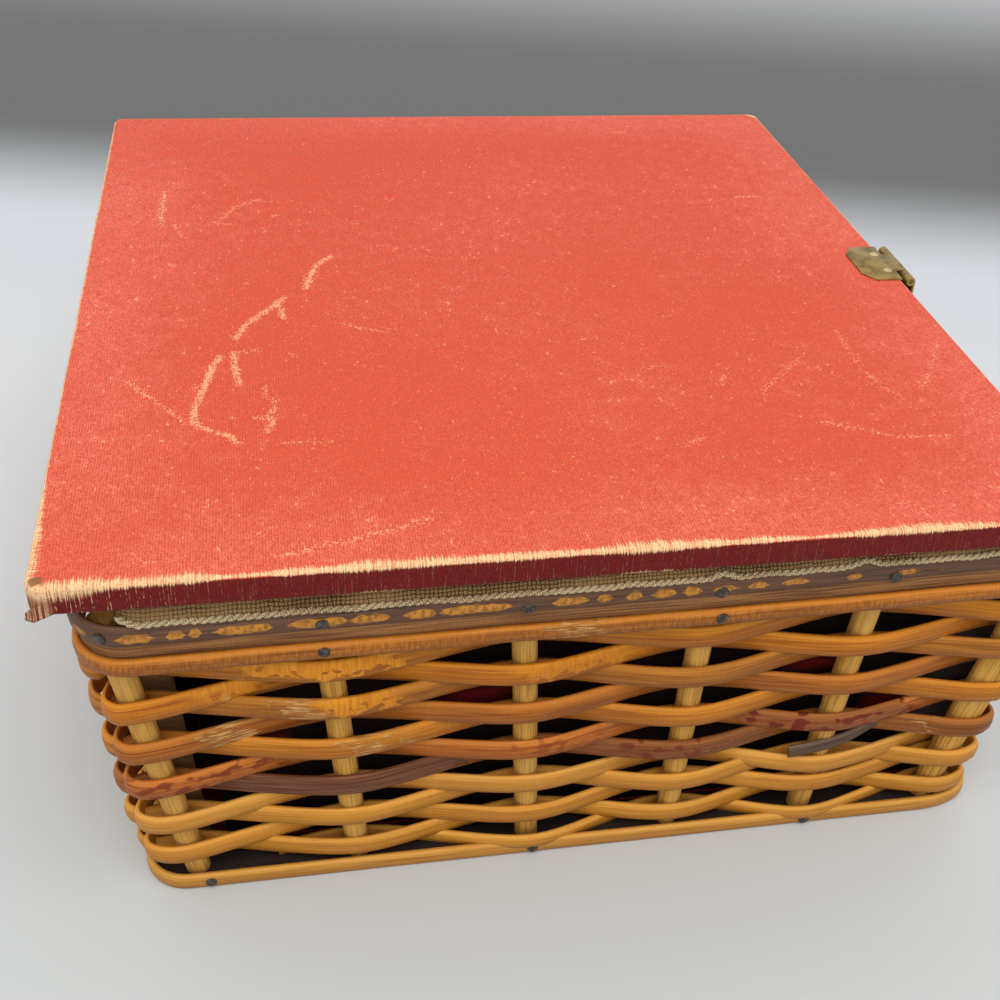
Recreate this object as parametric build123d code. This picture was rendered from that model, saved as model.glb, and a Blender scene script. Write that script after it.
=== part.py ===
from build123d import *
import math
import os

# Sewing box: a woven cane basket on a board base, with a cloth-covered lid on two brass hinges
# and a brass hasp at the front. Millimetres. +Z is up and the front looks towards -Y.
# The origin is the middle of the base's underside.

# Lid: a board in book cloth, with a panel under it
lid_width = 284.0
lid_depth = 254.0
lid_corner_radius = 4.0
board_thickness = 5.9
cloth_thickness = 0.8
cloth_turn_in = 16.0
lid_panel_thickness = 1.2
lid_panel_margin = 3.0

# How far the lid stands out past the rim, and how far it sits towards the hinges
side_overhang = 2.5
end_overhang = 2.0
lid_set_back = 3.0

# Rim: two outer bands with a strip between and behind them, a hoop inside, and braid on top
rim_height = 100.3
rim_corner_radius = 14.0
band_thickness = 2.4
upper_band_height = 6.7
lower_band_height = 5.0
band_spacing = 3.1
backing_thickness = 0.9
backing_overlap = 1.8
hoop_thickness = 2.0
hoop_height = 10.0
braid_height = 5.5
braid_width = 14.0
braid_slope = 32.0
braid_setback = 0.4
lid_rest_gap = 0.3

# Stakes: round reed, leaning outwards from the base; the middle ones of a side wall stand
# a little nearer the hasp than even spacing would put them
stake_diameter = 6.5
stake_flat_count = 10
stakes_per_side = 6
stakes_per_front = 6
side_stake_corner = 6.0
front_stake_corner = 18.0
side_stake_bow = 4.5
wall_lean = 3.9
stake_end_gap = 0.3

# Weavers: split cane, each row a closed ring in front of one stake and behind the next
wide_weavers = 7
narrow_weavers = 5
wide_weaver_width = 6.0
narrow_weaver_width = 4.9
weaver_thickness = 2.0
narrow_weaver_pitch = 5.5
weaver_flat = 6.0
weaver_end_flat = 2.0
weaver_corner_radius = 5.0
weaver_corner_wrap = 16.0
weaver_corner_count = 3
weaver_stake_gap = 0.4
row_gap = 0.25
top_row_gap = 1.0
tight_corner_reach = 2.4
loose_corner_reach = 2.5

# Base
base_thickness = 4.0
bottom_band_height = 5.2
bottom_band_radius = 12.0
lining_thickness = 1.2
lining_weave_gap = 0.6
lining_top_gap = 3.5
lining_corner_gap = 10.0

# Nails
nail_head_diameter = 3.3
nail_head_flat_count = 6
nail_head_height = 0.6

# Hinges
hinge_width = 26.0
hinge_leaf_thickness = 0.8
hinge_knuckle_radius = 1.9
hinge_pin_radius = 0.8
hinge_knuckle_width = 9.0
rim_leaf_height = 10.0
lid_leaf_width = 36.0
lid_leaf_depth = 6.0

# Hasp
clasp_width = 24.0
clasp_depth = 12.0
clasp_nose_width = 14.3
clasp_shoulder = 3.2
clasp_thickness = 0.6
clasp_knuckle_radius = 1.5
clasp_pin_radius = 0.6
clasp_knuckle_width = 12.0
clasp_axis_reach = 3.3
flap_thickness = 0.7
flap_tip_width = 13.0
flap_drop = 21.0
flap_hole_radius = 2.8
rivet_radius = 1.4
rivet_height = 0.4
rivet_spacing = 12.0
rivet_inset = 2.6
catch_plate_width = 14.0
catch_plate_height = 5.6
catch_plate_thickness = 0.6
catch_stud_radius = 1.9
catch_stud_chamfer = 0.7

# Clearances
fit = 0.15
joint_gap = 0.3
pin_clearance = 0.09
touch = 0.05

# Worked out from the sizes above
rim_x = lid_width / 2 - side_overhang
rim_y = lid_depth / 2 - end_overhang
stake_radius = stake_diameter / 2
stake_setback = band_thickness + backing_thickness + 2 * fit + stake_radius
lower_band_top = rim_height - upper_band_height - band_spacing
lower_band_bottom = lower_band_top - lower_band_height
hoop_bottom = rim_height - hoop_height
braid_bottom = rim_height + touch
lid_bottom = braid_bottom + braid_height + lid_rest_gap
lid_top = lid_bottom + board_thickness + 2 * cloth_thickness
lid_front = lid_set_back - lid_depth / 2
weaver_reach = stake_radius + weaver_stake_gap + weaver_thickness / 2
weave_depth = weaver_reach + weaver_thickness / 2
base_setback = stake_radius + fit

wall_names = ("right", "back", "left", "front")
corner_turn = 360 / len(wall_names)


def is_side(wall):
    """True for the two walls that face along X."""
    return wall in ("left", "right")


def inset(z):
    """How far a leaning wall stands in at a height, against the top of the rim."""
    return (rim_height - z) * math.tan(math.radians(wall_lean))


def stake_plane(wall, z):
    """Distance from the centre to a wall's row of stake centres at a height."""
    return (rim_x if is_side(wall) else rim_y) - stake_setback - inset(z)


def stake_count(wall):
    """Number of stakes in a wall."""
    return stakes_per_side if is_side(wall) else stakes_per_front


def stake_reach(wall, z):
    """Distance along a wall from its middle to its last stake at a height."""
    other = "front" if is_side(wall) else "left"
    corner = side_stake_corner if is_side(wall) else front_stake_corner
    top = stake_plane(other, rim_height)
    return (top - corner) * stake_plane(other, z) / top


def stake_offsets(wall, z):
    """Where each stake of a wall stands along it at a height."""
    count, reach = stake_count(wall), stake_reach(wall, z)
    bow = {"left": side_stake_bow, "right": -side_stake_bow}.get(wall, 0)
    shares = [2 * k / (count - 1) - 1 for k in range(count)]
    return [reach * share + bow * (1 - share**2) for share in shares]


def on_wall(wall, out, along):
    """A plan point from its distance out from the centre and its place along a wall."""
    return Vector(out, along).rotate(Axis.Z, corner_turn * wall_names.index(wall))


def turned(shape, wall):
    """A shape modelled on the right-hand wall, turned to another wall."""
    return shape.rotate(Axis.Z, corner_turn * wall_names.index(wall))


def plate(half_x, half_y, radius, z, height):
    """A flat rectangle, centred, standing on a height; a radius of 0 leaves its corners square."""
    outline = Rectangle(2 * half_x, 2 * half_y)
    if radius > 0:
        outline = RectangleRounded(2 * half_x, 2 * half_y, radius)
    return Pos(0, 0, z) * extrude(outline, height)


def ring(half_x, half_y, radius, thickness, z, height):
    """A rounded rectangular hoop given by its outer face."""
    outer = plate(half_x, half_y, radius, z, height)
    return outer - plate(half_x - thickness, half_y - thickness, radius - thickness, z, height)


def block(size, centre):
    """A box of a size about a centre."""
    return Pos(*centre) * Box(*size)


def rod(radius, length, centre):
    """A round bar along X."""
    return Pos(*centre) * Rot(0, 90, 0) * Cylinder(radius, length)


# Stakes


def stake(wall, along_bottom, along_top):
    """One leaning stake, cut level at both ends; a few flats stand for its round."""
    z_low, z_high = stake_end_gap, rim_height - stake_end_gap
    foot = on_wall(wall, stake_plane(wall, z_low), along_bottom) + Vector(0, 0, z_low)
    head = on_wall(wall, stake_plane(wall, z_high), along_top) + Vector(0, 0, z_high)
    way = head - foot
    return extrude(Pos(*foot) * RegularPolygon(stake_radius, stake_flat_count), way.length, dir=way)


def stakes(wall):
    """The row of stakes in a wall."""
    low = stake_offsets(wall, stake_end_gap)
    high = stake_offsets(wall, rim_height - stake_end_gap)
    return [stake(wall, a, b) for a, b in zip(low, high)]


# Weavers


def row_heights():
    """Centre height and width of each weaver, from the top row down."""
    count = wide_weavers + narrow_weavers
    top = lower_band_bottom - top_row_gap - wide_weaver_width / 2
    last = bottom_band_height + row_gap + narrow_weaver_width / 2
    bend = last + (narrow_weavers - 1) * narrow_weaver_pitch
    wide_pitch = (top - bend) / wide_weavers
    rows = []
    for k in range(count):
        if k < wide_weavers:
            rows.append((top - k * wide_pitch, wide_weaver_width))
        else:
            rows.append((last + (count - 1 - k) * narrow_weaver_pitch, narrow_weaver_width))
    return rows


def weaver_corner(wall, following, outside, z):
    """Points of the bend between two walls, after a stake that the weaver passes outside or inside."""
    side_outside = outside == is_side(wall)
    side_reach = weaver_reach if side_outside else -loose_corner_reach
    front_reach = tight_corner_reach if side_outside else weaver_reach
    here, there = (side_reach, front_reach) if is_side(wall) else (front_reach, side_reach)
    out = stake_plane(wall, z) + here - weaver_corner_radius
    along = stake_plane(following, z) + there - weaver_corner_radius
    start = 0 if outside else -weaver_corner_wrap
    turn = (corner_turn + weaver_corner_wrap) / (weaver_corner_count - 1)
    angles = [math.radians(start + k * turn) for k in range(weaver_corner_count)]
    radius = weaver_corner_radius
    return [on_wall(wall, out + radius * math.cos(a), along + radius * math.sin(a)) for a in angles]


def weaver_path(row, z):
    """Points of a weaver's closed centre line, anticlockwise: a flat at each stake and a bend at each corner."""
    points = []
    outside = row % 2 == 0
    for w, wall in enumerate(wall_names):
        offsets = stake_offsets(wall, z)
        for along in offsets:
            out = stake_plane(wall, z) + (weaver_reach if outside else -weaver_reach)
            flat = weaver_end_flat if along in (offsets[0], offsets[-1]) else weaver_flat
            points.append(on_wall(wall, out, along - flat / 2))
            points.append(on_wall(wall, out, along + flat / 2))
            last_outside, outside = outside, not outside
        following = wall_names[(w + 1) % len(wall_names)]
        points += weaver_corner(wall, following, last_outside, z)
    return points


def shifted_face(points, out):
    """The area inside a closed path, moved out sideways by a distance."""
    moved = []
    for k, point in enumerate(points):
        way_in = (point - points[k - 1]).normalized()
        way_out = (points[(k + 1) % len(points)] - point).normalized()
        side_in = way_in.rotate(Axis.Z, -90)
        side_out = way_out.rotate(Axis.Z, -90)
        moved.append(point + (side_in + side_out) * (out / (1 + side_in.dot(side_out))))
    return make_face(Polyline(*moved, close=True))


def weaver(row, z, width):
    """One row of split cane, woven round all the stakes."""
    points = weaver_path(row, z)
    half = weaver_thickness / 2
    strip = shifted_face(points, half) - shifted_face(points, -half)
    return Pos(0, 0, z - width / 2) * extrude(strip, width)


# Rim and base


def bottom_band():
    """The strip nailed round the foot of the stakes."""
    inner = stake_plane("left", bottom_band_height) + stake_radius + fit
    half_x = inner + band_thickness
    half_y = half_x - rim_x + rim_y
    return ring(half_x, half_y, bottom_band_radius, band_thickness, 0, bottom_band_height)


def base_board():
    """The flat board inside the stakes."""
    half_x = stake_plane("left", 0) - base_setback
    half_y = stake_plane("front", 0) - base_setback
    return plate(half_x, half_y, 0, 0, base_thickness)


def rim_backing():
    """The thin strip behind both bands, seen in the gap between them."""
    bottom = lower_band_top - backing_overlap
    height = band_spacing + 2 * backing_overlap
    back = band_thickness + fit
    return ring(rim_x - back, rim_y - back, rim_corner_radius - back, backing_thickness, bottom, height)


def rim_hoop():
    """The hoop inside the stakes that the bands are nailed through to."""
    out = stake_plane("left", hoop_bottom) - stake_radius - fit
    half_y = out - rim_x + rim_y
    height = hoop_height - stake_end_gap
    return ring(out, half_y, hoop_thickness, hoop_thickness, hoop_bottom, height)


def rim_braid():
    """Woven tape over the top of the rim, sloping in from its outer edge."""
    half_x, half_y = rim_x - braid_setback, rim_y - braid_setback
    outline = RectangleRounded(2 * half_x, 2 * half_y, rim_corner_radius)
    outer = Pos(0, 0, braid_bottom) * extrude(outline, braid_height, taper=braid_slope)
    hole = plate(half_x - braid_width, half_y - braid_width, 0, braid_bottom, braid_height)
    return outer - hole


def lining_plane(wall, z):
    """Distance from the centre to the outer face of a lining panel at a height."""
    return stake_plane(wall, z) - weave_depth - lining_weave_gap


def lining_wall(wall):
    """A cloth-covered card that leans with its wall and stops short of the corners."""
    low = base_thickness + touch + lining_thickness + touch
    high = rim_height - lining_top_gap
    across = "front" if is_side(wall) else "left"
    length = 2 * (lining_plane(across, low) - lining_corner_gap)
    foot, head = lining_plane(wall, low), lining_plane(wall, high)
    outer = [(foot, low), (head, high)]
    inner = [(out - lining_thickness, z) for out, z in reversed(outer)]
    outline = Polyline(*outer, *inner, close=True)
    card = extrude(Plane.XZ * make_face(outline), length / 2, both=True)
    return turned(card, wall)


def lining_base():
    """The padded card that lies on the base board."""
    z = base_thickness + touch
    half_x = lining_plane("left", z) - touch
    half_y = lining_plane("front", z) - touch
    return plate(half_x, half_y, 0, z, lining_thickness)


def nail_head(out, along, z, wall):
    """A nail's flat head on the outer face of a band; a few flats stand for its round."""
    head = extrude(Plane.YZ * RegularPolygon(nail_head_diameter / 2, nail_head_flat_count), nail_head_height)
    return turned(Pos(out + touch, along, z) * head, wall)


def nail_ring(half_x, half_y, z, first, step):
    """Nail heads round a band, at every stake or every second one."""
    heads = []
    for wall in wall_names:
        out = half_x if is_side(wall) else half_y
        for along in stake_offsets(wall, z)[first::step]:
            heads.append(nail_head(out, along, z, wall))
    return heads


# Lid


def set_back(shape):
    """A lid piece moved from the middle of the rim to the lid's own middle."""
    return Pos(0, lid_set_back, 0) * shape


def lid_board():
    """The board inside the lid's cloth."""
    half_x = lid_width / 2 - cloth_thickness
    half_y = lid_depth / 2 - cloth_thickness
    radius = lid_corner_radius - cloth_thickness
    return set_back(plate(half_x, half_y, radius, lid_bottom + cloth_thickness, board_thickness))


def lid_cloth():
    """Book cloth over the board's top and edges, turned in underneath."""
    height = board_thickness + 2 * cloth_thickness
    cover = set_back(plate(lid_width / 2, lid_depth / 2, lid_corner_radius, lid_bottom, height))
    window_x = lid_width / 2 - cloth_turn_in
    window_y = lid_depth / 2 - cloth_turn_in
    window = plate(window_x, window_y, 0, lid_bottom, cloth_thickness)
    return cover - lid_board() - set_back(window)


def lid_panel():
    """The card under the lid, dropping inside the braid."""
    setback = braid_setback + braid_width + lid_panel_margin
    z = lid_bottom - touch - lid_panel_thickness
    return plate(rim_x - setback, rim_y - setback, 0, z, lid_panel_thickness)


# Hinges


hinge_axis_y = rim_y + touch + hinge_knuckle_radius + joint_gap
hinge_axis_z = lid_bottom - touch - hinge_leaf_thickness - hinge_knuckle_radius - joint_gap
lid_leaf_y = hinge_axis_y + hinge_knuckle_radius - lid_leaf_depth / 2
lid_leaf_underside = lid_bottom - touch - hinge_leaf_thickness


def hinge_centre_x():
    """Each hinge sits midway between the last two stakes of the back wall."""
    offsets = stake_offsets("back", rim_height)
    return (offsets[-1] + offsets[-2]) / 2


def hinge_knuckle(centre_x, width):
    """One bored barrel of a hinge."""
    centre = (centre_x, hinge_axis_y, hinge_axis_z)
    barrel = rod(hinge_knuckle_radius, width, centre)
    return barrel - rod(hinge_pin_radius + pin_clearance, width, centre)


def rim_leaf(centre_x):
    """The leaf nailed to the upper band, with the two outer knuckles."""
    y = rim_y + touch + hinge_leaf_thickness / 2
    top = hinge_axis_z
    low = top - rim_leaf_height
    leaf = block((hinge_width, hinge_leaf_thickness, rim_leaf_height), (centre_x, y, (top + low) / 2))
    notch = hinge_knuckle_width + 2 * joint_gap
    drop = hinge_knuckle_radius + joint_gap
    leaf -= block((notch, hinge_leaf_thickness, 2 * drop), (centre_x, y, top))
    outer = (hinge_width - notch) / 2
    for side in (-1, 1):
        leaf += hinge_knuckle(centre_x + side * (notch + outer) / 2, outer)
    return leaf - rod(hinge_pin_radius + pin_clearance, hinge_width, (centre_x, hinge_axis_y, hinge_axis_z))


def lid_leaf(centre_x):
    """The leaf nailed under the lid's overhang, turned down at its edge to the middle knuckle."""
    size = (lid_leaf_width, lid_leaf_depth, hinge_leaf_thickness)
    leaf = block(size, (centre_x, lid_leaf_y, lid_leaf_underside + hinge_leaf_thickness / 2))
    drop = lid_leaf_underside - hinge_axis_z
    web_y = hinge_axis_y + hinge_knuckle_radius - hinge_leaf_thickness / 2
    leaf += block((hinge_knuckle_width, hinge_leaf_thickness, drop), (centre_x, web_y, hinge_axis_z + drop / 2))
    return leaf + hinge_knuckle(centre_x, hinge_knuckle_width)


def hinge_pin(centre_x):
    """The pin through a hinge's knuckles."""
    return rod(hinge_pin_radius, hinge_width, (centre_x, hinge_axis_y, hinge_axis_z))


def rim_leaf_nails(centre_x):
    """Two nail heads on the lower part of a rim leaf."""
    face = rim_y + touch + hinge_leaf_thickness
    z = hinge_axis_z - rim_leaf_height + nail_head_diameter
    spread = hinge_width / 2 - nail_head_diameter
    return [nail_head(face, side * spread - centre_x, z, "back") for side in (-1, 1)]


def lid_leaf_nails(centre_x):
    """A nail head under each end of a lid leaf, clear of the knuckles."""
    head = extrude(RegularPolygon(nail_head_diameter / 2, nail_head_flat_count), nail_head_height)
    z = lid_leaf_underside - touch - nail_head_height
    spread = (lid_leaf_width + hinge_width) / 4
    return [Pos(centre_x + side * spread, lid_leaf_y, z) * head for side in (-1, 1)]


# Hasp


clasp_base = lid_top + touch
clasp_axis_y = lid_front - clasp_axis_reach
clasp_axis_z = clasp_base + clasp_thickness - clasp_knuckle_radius
flap_face_y = clasp_axis_y - clasp_knuckle_radius + flap_thickness


def clasp_knuckle(centre_x, width):
    """One bored barrel of the hasp."""
    centre = (centre_x, clasp_axis_y, clasp_axis_z)
    barrel = rod(clasp_knuckle_radius, width, centre)
    return barrel - rod(clasp_pin_radius + pin_clearance, width, centre)


def rivet_places():
    """The two rivets through the hasp's plate, behind the lid's front edge."""
    y = lid_front + rivet_inset
    return [(side * rivet_spacing / 2, y) for side in (-1, 1)]


def clasp_plate():
    """The six-sided plate on the lid, with the middle knuckle over the lid's edge."""
    front, back = lid_front, lid_front + clasp_depth
    shoulder = back - clasp_shoulder
    half, nose = clasp_width / 2, clasp_nose_width / 2
    corners = [(half, front), (half, shoulder), (nose, back)]
    corners += [(-x, y) for x, y in reversed(corners)]
    outline = Polyline(*corners, close=True)
    body = Pos(0, 0, clasp_base) * extrude(make_face(outline), clasp_thickness)
    strap = block(
        (clasp_knuckle_width, -clasp_axis_y + front, clasp_thickness),
        (0, (clasp_axis_y + front) / 2, clasp_base + clasp_thickness / 2),
    )
    body += strap + clasp_knuckle(0, clasp_knuckle_width)
    return body - rod(clasp_pin_radius + pin_clearance, clasp_width, (0, clasp_axis_y, clasp_axis_z))


def clasp_rivet(x, y):
    """A rivet's low domed head on the plate."""
    z = clasp_base + clasp_thickness + touch / 2 + rivet_height / 2
    return Pos(x, y, z) * Cone(rivet_radius, rivet_radius / 2, rivet_height)


def clasp_flap():
    """The flap that hangs over the lid's edge, with the two outer knuckles and the catch hole."""
    half, tip = clasp_width / 2, flap_tip_width / 2
    low = clasp_axis_z - flap_drop
    waist = low + (half - tip)
    corners = [(half, clasp_axis_z), (half, waist), (tip, low)]
    corners += [(-x, z) for x, z in reversed(corners)]
    outline = Polyline(*corners, close=True)
    leaf = Pos(0, flap_face_y, 0) * extrude(Plane.XZ * make_face(outline), flap_thickness)
    notch = clasp_knuckle_width + 2 * joint_gap
    drop = clasp_knuckle_radius + joint_gap
    leaf -= block((notch, 4 * flap_thickness, 2 * drop), (0, flap_face_y, clasp_axis_z))
    outer = (clasp_width - notch) / 2
    for side in (-1, 1):
        leaf += clasp_knuckle(side * (notch + outer) / 2, outer)
    hole = Pos(0, flap_face_y, catch_height()) * Rot(90, 0, 0) * Cylinder(flap_hole_radius, 4 * flap_thickness)
    return leaf - hole - rod(clasp_pin_radius + pin_clearance, clasp_width, (0, clasp_axis_y, clasp_axis_z))


def clasp_pin():
    """The pin through the hasp's knuckles."""
    return rod(clasp_pin_radius, clasp_width, (0, clasp_axis_y, clasp_axis_z))


def catch_height():
    """The catch stands at the middle of the upper band."""
    return rim_height - upper_band_height / 2


def clasp_catch():
    """The stud on the upper band that stands behind the flap's hole."""
    z = catch_height()
    face = -rim_y - touch
    plate_y = face - catch_plate_thickness / 2
    foot = block((catch_plate_width, catch_plate_thickness, catch_plate_height), (0, plate_y, z))
    tip = flap_face_y + joint_gap + 2 * fit
    length = face - tip
    stud = Rot(90, 0, 0) * Cylinder(catch_stud_radius, length)
    stud = chamfer(stud.edges().sort_by(Axis.Y)[0], catch_stud_chamfer)
    return foot + Pos(0, (face + tip) / 2, z) * stud


def write(name, solids):
    """Write one sub-part, a single solid or a group of separate ones, under its name."""
    found = []
    for item in solids:
        found.extend(item.solids())
    shape = found[0] if len(found) == 1 else Compound(children=found)
    shape.label = name
    export_step(shape, f"parts/{name}.step")


def main():
    """Build every sub-part and write its file."""
    os.makedirs("parts", exist_ok=True)
    for wall in wall_names:
        write(f"stakes_{wall}", stakes(wall))
        write(f"lining_{wall}", [lining_wall(wall)])
    for row, (z, width) in enumerate(row_heights(), start=1):
        write(f"weaver_{row:02d}", [weaver(row, z, width)])
    upper_z = rim_height - upper_band_height
    write("rim_band_upper", [ring(rim_x, rim_y, rim_corner_radius, band_thickness, upper_z, upper_band_height)])
    write("rim_band_lower", [ring(rim_x, rim_y, rim_corner_radius, band_thickness, lower_band_bottom, lower_band_height)])
    write("rim_backing", [rim_backing()])
    write("rim_hoop", [rim_hoop()])
    write("rim_braid", [rim_braid()])
    write("bottom_band", [bottom_band()])
    write("base_board", [base_board()])
    write("lining_base", [lining_base()])
    upper_mid = rim_height - upper_band_height / 2
    lower_mid = lower_band_bottom + lower_band_height / 2
    band_x = stake_plane("left", bottom_band_height) + stake_radius + fit + band_thickness
    write("rim_nails_upper", nail_ring(rim_x, rim_y, upper_mid, 0, 1))
    write("rim_nails_lower", nail_ring(rim_x, rim_y, lower_mid, 1, 2))
    write("bottom_nails", nail_ring(band_x, band_x - rim_x + rim_y, bottom_band_height / 2, 0, 2))
    write("lid_board", [lid_board()])
    write("lid_cloth", [lid_cloth()])
    write("lid_panel", [lid_panel()])
    for name, side in (("left", -1), ("right", 1)):
        x = side * hinge_centre_x()
        write(f"hinge_{name}_rim_leaf", [rim_leaf(x)])
        write(f"hinge_{name}_lid_leaf", [lid_leaf(x)])
        write(f"hinge_{name}_pin", [hinge_pin(x)])
        write(f"hinge_{name}_rim_nails", rim_leaf_nails(x))
        write(f"hinge_{name}_lid_nails", lid_leaf_nails(x))
    write("clasp_plate", [clasp_plate()])
    write("clasp_rivets", [clasp_rivet(x, y) for x, y in rivet_places()])
    write("clasp_pin", [clasp_pin()])
    write("clasp_flap", [clasp_flap()])
    write("clasp_catch", [clasp_catch()])


main()
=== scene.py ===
import logging
import math
from collections.abc import Callable, Iterator
from contextlib import contextmanager
from dataclasses import dataclass
from enum import Enum

import bmesh
import bpy
import numpy as np
from mathutils import Matrix, Vector


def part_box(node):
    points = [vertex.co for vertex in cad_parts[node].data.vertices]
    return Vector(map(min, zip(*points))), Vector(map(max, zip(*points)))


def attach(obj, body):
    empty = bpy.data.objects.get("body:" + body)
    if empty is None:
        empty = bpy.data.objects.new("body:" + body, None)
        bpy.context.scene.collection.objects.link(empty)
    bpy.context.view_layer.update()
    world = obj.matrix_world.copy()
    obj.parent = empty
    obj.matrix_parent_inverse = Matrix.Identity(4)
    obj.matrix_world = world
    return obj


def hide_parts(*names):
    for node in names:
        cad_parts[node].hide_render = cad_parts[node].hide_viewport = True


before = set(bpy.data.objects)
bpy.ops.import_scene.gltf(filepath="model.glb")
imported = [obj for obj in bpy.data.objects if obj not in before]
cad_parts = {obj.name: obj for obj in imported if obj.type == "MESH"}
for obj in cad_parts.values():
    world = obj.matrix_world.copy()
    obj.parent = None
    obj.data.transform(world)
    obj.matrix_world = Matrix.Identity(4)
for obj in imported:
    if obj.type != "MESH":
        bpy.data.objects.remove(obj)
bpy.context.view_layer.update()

# Sewing box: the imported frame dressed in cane, tape, book cloth and aged brass.
# Sizes that belong to the object are in millimetres and become metres where a mesh is made.

log = logging.getLogger("sewing_box")

MM = 0.001
FULL_TURN = 2 * math.pi
SHARP = math.radians(40)
WALLS = ("right", "back", "left", "front")
CORNERS = ((1, 1), (-1, 1), (-1, -1), (1, -1))
Colour = tuple[float, float, float]


def tint(colour: Colour) -> tuple[float, float, float, float]:
    """A screen colour of 0 to 255 as the linear colour that a shader takes."""
    linear = [((c / 255 + 0.055) / 1.055) ** 2.4 if c > 10 else c / 255 / 12.92 for c in colour]
    return (linear[0], linear[1], linear[2], 1.0)


def shade(colour: Colour, share: float, lift: float = 0.0) -> Colour:
    """A screen colour made darker or lighter."""
    return tuple(min(255.0, c * share + lift) for c in colour)


# Node trees


def maths(operation: str, swapped: bool = False) -> "Callable[..., Num]":
    """A method of Num that adds a Math node, with its own number last where it is swapped."""

    def apply(number: "Num", *others: "Num | float") -> "Num":
        """Adds the node."""
        values = (*others, number) if swapped else (number, *others)
        return number.nodes.math(operation, *values)

    return apply


@dataclass(frozen=True, eq=False)
class Num:
    """One number of a node tree, so that maths on it reads as maths."""

    nodes: "Nodes"
    socket: bpy.types.NodeSocket

    __add__, __radd__ = maths("ADD"), maths("ADD", True)
    __sub__, __rsub__ = maths("SUBTRACT"), maths("SUBTRACT", True)
    __mul__, __rmul__ = maths("MULTIPLY"), maths("MULTIPLY", True)
    __truediv__, __pow__, __abs__ = maths("DIVIDE"), maths("POWER"), maths("ABSOLUTE")
    sign, sine, cosine = maths("SIGN"), maths("SINE"), maths("COSINE")
    at_least, at_most, above = maths("MAXIMUM"), maths("MINIMUM"), maths("GREATER_THAN")

    def ramp(self, low: float, high: float) -> "Num":
        """A soft step from 0 at low to 1 at high; low may be the larger."""
        settings = {"interpolation_type": "SMOOTHSTEP"}
        node = self.nodes.add("ShaderNodeMapRange", settings, {"Value": self, 1: low, 2: high})
        return Num(self.nodes, node.outputs[0])


Given = "Num | bpy.types.NodeSocket | bpy.types.Material | float | int | str | bool | tuple"


class Nodes:
    """A node tree that is being filled, one node at a time."""

    def __init__(self, tree: bpy.types.NodeTree) -> None:
        """Starts on a tree."""
        self.tree = tree

    def add(self, kind: str, settings: dict | None = None, values: dict | None = None) -> bpy.types.Node:
        """Adds a node.

        Args:
            kind: the node's type.
            settings: its own settings, which are set first.
            values: values or links of its input sockets, by name or number.

        Returns:
            The node.
        """
        node = self.tree.nodes.new(kind)
        for name, setting in (settings or {}).items():
            setattr(node, name, setting)
        for key, value in (values or {}).items():
            value = value.socket if isinstance(value, Num) else value
            if isinstance(value, bpy.types.NodeSocket):
                self.tree.links.new(value, node.inputs[key])
            else:
                node.inputs[key].default_value = value
        return node

    def math(self, operation: str, *values: "Num | float") -> Num:
        """A Math node's result."""
        node = self.add("ShaderNodeMath", {"operation": operation}, dict(enumerate(values)))
        return Num(self, node.outputs[0])

    def at(self, x: "Num | float", y: "Num | float", z: "Num | float" = 0.0) -> bpy.types.NodeSocket:
        """A vector from three numbers."""
        return self.add("ShaderNodeCombineXYZ", None, {0: x, 1: y, 2: z}).outputs[0]

    def apart(self, vector: bpy.types.NodeSocket) -> tuple[Num, Num, Num]:
        """The three numbers of a vector."""
        split = self.add("ShaderNodeSeparateXYZ", None, {0: vector})
        return Num(self, split.outputs[0]), Num(self, split.outputs[1]), Num(self, split.outputs[2])

    def noise(self, vector: bpy.types.NodeSocket, scale: float = 1.0, detail: float = 2.0) -> Num:
        """Soft noise about 0.5 at a vector."""
        node = self.add("ShaderNodeTexNoise", None, {"Vector": vector, "Scale": scale, "Detail": detail})
        return Num(self, node.outputs[0])

    def vectors(self, operation: str, first: Given, second: Given) -> bpy.types.NodeSocket:
        """A Vector Math node's result."""
        return self.add("ShaderNodeVectorMath", {"operation": operation}, {0: first, 1: second}).outputs[0]

    def mix(self, share: "Num | float", low: Given, high: Given) -> bpy.types.NodeSocket:
        """A colour between two others, each a socket or a screen colour."""
        low, high = (tint(colour) if isinstance(colour, tuple) else colour for colour in (low, high))
        node = self.add("ShaderNodeMix", {"data_type": "RGBA"}, {0: share, 6: low, 7: high})
        return node.outputs[2]


class Paint(Nodes):
    """A material that is being made."""

    def __init__(self, name: str) -> None:
        """Starts a material with nothing in it but the surface's place."""
        self.material = bpy.data.materials.new(name)
        self.material.use_nodes = True
        self.material.node_tree.nodes.clear()
        super().__init__(self.material.node_tree)
        self.place = self.add("ShaderNodeTexCoord").outputs["Object"]
        self.x, self.y, self.z = self.apart(self.place)

    def painted(self, name: str) -> Num:
        """A number painted on the mesh."""
        node = self.add("ShaderNodeAttribute", {"attribute_name": name})
        return Num(self, node.outputs["Fac"])

    def finish(
        self,
        colour: Given,
        roughness: "Num | float",
        height: Num | None = None,
        depth: float = 0.0002,
        **constants: float,
    ) -> bpy.types.Material:
        """Puts the shader on.

        Args:
            colour: base colour.
            roughness: roughness.
            height: relief from 0 to 1, where there is any.
            depth: how deep that relief is, in metres.
            constants: other sockets of the shader, with _ for a space.

        Returns:
            The finished material.
        """
        values = {"Base Color": colour, "Roughness": roughness}
        values.update({key.replace("_", " "): value for key, value in constants.items()})
        if height is not None:
            bump = self.add("ShaderNodeBump", None, {"Height": height, "Distance": depth, "Strength": 1.0})
            values["Normal"] = bump.outputs[0]
        shader = self.add("ShaderNodeBsdfPrincipled", None, values)
        self.add("ShaderNodeOutputMaterial", None, {0: shader.outputs[0]})
        return self.material


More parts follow.
